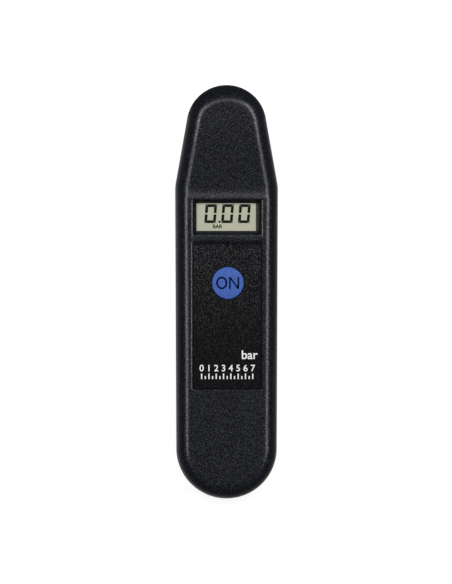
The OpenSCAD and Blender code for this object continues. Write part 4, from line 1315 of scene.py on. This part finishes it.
class GAUGE_OT_battery(Operator):
    """Build the battery cap and finish the cell and its contacts"""
    bl_idname = "gauge.battery"
    bl_label = "Battery cap"

    def slot(self, cap, x, y, z):
        """Cutter for the coin slot, with a rounded rim."""
        rim = (0.2 * MM, -PAST), (0.2 * MM, 0), (0.06 * MM, 0.08 * MM), (0, 0.2 * MM), (0, cap.slot_depth)
        loops = []
        for out, depth in rim:
            long, wide = cap.slot_length / 2 + out, cap.slot_width / 2 + out
            loops.append(rounded_loop(x - long, x + long, y - wide, y + wide, cap.slot_corner, z + depth))
        return loft("slot", loops)

    def arrow(self, cap, x, y, z):
        """Cutter for the arrow near the rim, with its corners in millimetres."""
        corners = (-0.9, 8.2), (0.9, 8.2), (0, 9.9)
        return loft("arrow", [
            [(x + across * MM, y + up * MM, level) for across, up in corners]
            for level in (z - PAST, z + cap.arrow_depth)
        ])

    def lug(self, cap, x, y, z, number):
        """One bayonet lug on the skirt, with its reach and rise in millimetres."""
        section = (10.7, 2.8), (12.15, 2.8), (12.15, 3.7), (10.7, 3.7)
        steps = 12
        loops = []
        for i in range(steps + 1):
            turn = math.tau * number / cap.lug_count + cap.lug_span * (i / steps - 0.5)
            loops.append([
                (x + reach * MM * math.cos(turn), y + reach * MM * math.sin(turn), z + rise * MM)
                for reach, rise in section
            ])
        return loft("lug", loops)

    def execute(self, context):
        cap = context.scene.gauge_cap
        low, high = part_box("battery_cap")
        x, y, _ = middle("battery_cap")
        radius = (high.x - low.x) / 2
        plate = low.z + cap.plate
        profile = [(0, low.z), (radius * 0.6, low.z)]
        profile += [(radius - inset, low.z + drop) for inset, drop in quarter(cap.edge, 5)]
        profile += [
            (radius, plate), (cap.skirt, plate), (cap.skirt, high.z),
            (cap.skirt_inside, high.z), (cap.skirt_inside, plate), (0, plate),
        ]
        cover = lathe("battery_cover", profile, x, y, 128)
        carve(cover, self.slot(cap, x, y, low.z))
        carve(cover, self.arrow(cap, x, y, low.z))
        for number in range(cap.lug_count):
            carve(cover, self.lug(cap, x, y, low.z, number), "UNION")
        smooth(cover, 25)
        dress(cover, "cap", "case", case_plastic(), "battery_cap")
        paint(steel(), "coin_cell")
        colour = 0.5, 0.36, 0.14
        spring = moulded("spring_brass", colour, grain=0.7, depth=0.006, rough=0.3, contrast=0.15, metal=1)
        paint(spring, "contact_negative", "contact_positive")
        return {"FINISHED"}


class GAUGE_OT_electronics(Operator):
    """Build the switch's dome and finish the board and what is soldered to it"""
    bl_idname = "gauge.electronics"
    bl_label = "Electronics"

    def dome(self):
        """Snap dome: a thin curved shell, which in the real switch flattens under the plunger."""
        low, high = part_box("switch_dome")
        x, y, _ = middle("switch_dome")
        half, rise, thick, steps = (high.x - low.x) / 2, high.z - low.z, 0.12 * MM, 12
        radius = (half ** 2 + rise ** 2) / (2 * rise)
        profile = []
        for reach, order in ((radius, range(steps + 1)), (radius - thick, range(steps, -1, -1))):
            rim = math.acos((radius - rise) / reach)
            for i in order:
                turn = rim * (1 - i / steps)
                profile.append((reach * math.sin(turn), high.z - radius + reach * math.cos(turn)))
        piece = lathe("snap_dome", profile, x, y, 48, True)
        smooth(piece)
        dress(piece, "case", "steel", steel(), "switch_dome")
        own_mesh(piece)

    def execute(self, context):
        paint_all(
            ("green_board", (0.01, 0.1, 0.03), 1.2, 0.01, 0.35, 0.3, "circuit_board"),
            ("black_resin", (0.01, 0.01, 0.011), 0.6, 0.01, 0.25, 0.3, "chip_cover", "resistors"),
            ("tan_ceramic", (0.3, 0.19, 0.09), 0.3, 0.01, 0.5, 0.2, "capacitors"),
            ("switch_black", (0.015, 0.015, 0.017), 0.3, 0.015, 0.5, 0.25, "switch_body"),
            ("ivory_plastic", (0.6, 0.56, 0.46), 0.4, 0.01, 0.45, 0.08, "switch_plunger"),
        )
        paint(steel(), "crystal")
        self.dome()
        return {"FINISHED"}


class GAUGE_OT_stage(Operator):
    """Set up the floor, camera and soft light"""
    bl_idname = "gauge.stage"
    bl_label = "Stage"

    def floor(self, stage):
        """Wide flat ground."""
        reach = stage.floor_reach
        corners = (-reach, -reach), (reach, -reach), (reach, reach), (-reach, reach)
        floor = mesh_of("floor", [(x, y, -stage.floor_drop) for x, y in corners], [(0, 1, 2, 3)])
        floor.data.materials.append(lifted("pale_floor", stage.floor_colour, stage.floor_glow))

    def camera(self, scene, stage):
        """Camera far above the case, which leans a little to the left."""
        wide, tall = PICTURE
        lens = bpy.data.cameras.new("camera")
        lens.sensor_width = SENSOR
        lens.lens = SENSOR * stage.view_distance / (stage.view_width * tall / wide)
        camera = add_piece("camera", lens)
        aim = Vector((stage.aim_x, stage.aim_y, scene.gauge_case.rear_depth))
        tilt = stage.view_tilt
        camera.rotation_euler = (0, -tilt, 0)
        camera.location = aim + stage.view_distance * Vector((-math.sin(tilt), 0, math.cos(tilt)))
        scene.camera = camera

    def lamp(self, name, place, aim, length, width, power):
        """Soft box that shines from a place to an aim."""
        light = bpy.data.lights.new(name, "AREA")
        light.shape = "RECTANGLE"
        light.size, light.size_y, light.energy = length, width, power
        lamp = add_piece(name, light)
        lamp.location = place
        lamp.rotation_euler = (Vector(aim) - Vector(place)).to_track_quat("-Z", "Y").to_euler()
        lamp.visible_camera = False

    def lamps(self, stage):
        """A soft box on each side, and one beyond the head."""
        for name, side, y, length in (("left_box", -1, 0.19, 0.62), ("right_box", 1, 0.26, 0.76)):
            place = side * stage.side_reach, y, stage.side_height
            aim = 0, y, stage.light_aim
            self.lamp(name, place, aim, length, stage.side_width, stage.side_light * length)
        place = 0, stage.head_reach, stage.head_height
        self.lamp(
            "head_box", place, (0, 0, stage.light_aim), stage.head_length, stage.head_width, stage.head_light,
        )

    def execute(self, context):
        scene = context.scene
        stage = scene.gauge_stage
        self.floor(stage)
        self.camera(scene, stage)
        self.lamps(stage)
        world = bpy.data.worlds.new("studio")
        world.use_nodes = True
        tree = world.node_tree
        feed(tree, tree.nodes["Background"], Color=(1, 1, 1, 1), Strength=stage.air_light)
        scene.world = world
        scene.view_settings.view_transform = "Standard"
        return {"FINISHED"}


GROUPS = (
    ("gauge_case", CaseSettings), ("gauge_label", LabelSettings), ("gauge_button", ButtonSettings),
    ("gauge_display", DisplaySettings), ("gauge_fitting", FittingSettings), ("gauge_cap", CapSettings),
    ("gauge_stage", StageSettings),
)
OPERATORS = (
    GAUGE_OT_case, GAUGE_OT_label, GAUGE_OT_button, GAUGE_OT_display, GAUGE_OT_screws,
    GAUGE_OT_nozzle, GAUGE_OT_battery, GAUGE_OT_electronics, GAUGE_OT_stage,
)


class GAUGE_PT_pieces(Panel):
    """Lists what the gauge is built from"""
    bl_label = "Tire pressure gauge"
    bl_space_type = "VIEW_3D"
    bl_region_type = "UI"
    bl_category = "Gauge"

    def draw(self, context):
        for operator in OPERATORS:
            self.layout.operator(operator.bl_idname)
        for name, _ in GROUPS:
            box = self.layout.box()
            group = getattr(context.scene, name)
            for key in group.__annotations__:
                box.prop(group, key)


def register():
    for name, group in GROUPS:
        bpy.utils.register_class(group)
        setattr(bpy.types.Scene, name, PointerProperty(type=group))
    for kind in (*OPERATORS, GAUGE_PT_pieces):
        bpy.utils.register_class(kind)


def unregister():
    for kind in (GAUGE_PT_pieces, *reversed(OPERATORS)):
        bpy.utils.unregister_class(kind)
    for name, group in reversed(GROUPS):
        delattr(bpy.types.Scene, name)
        bpy.utils.unregister_class(group)


def main():
    register()
    for operator in OPERATORS:
        family, name = operator.bl_idname.split(".")
        getattr(getattr(bpy.ops, family), name)()


if __name__ == "__main__":
    main()
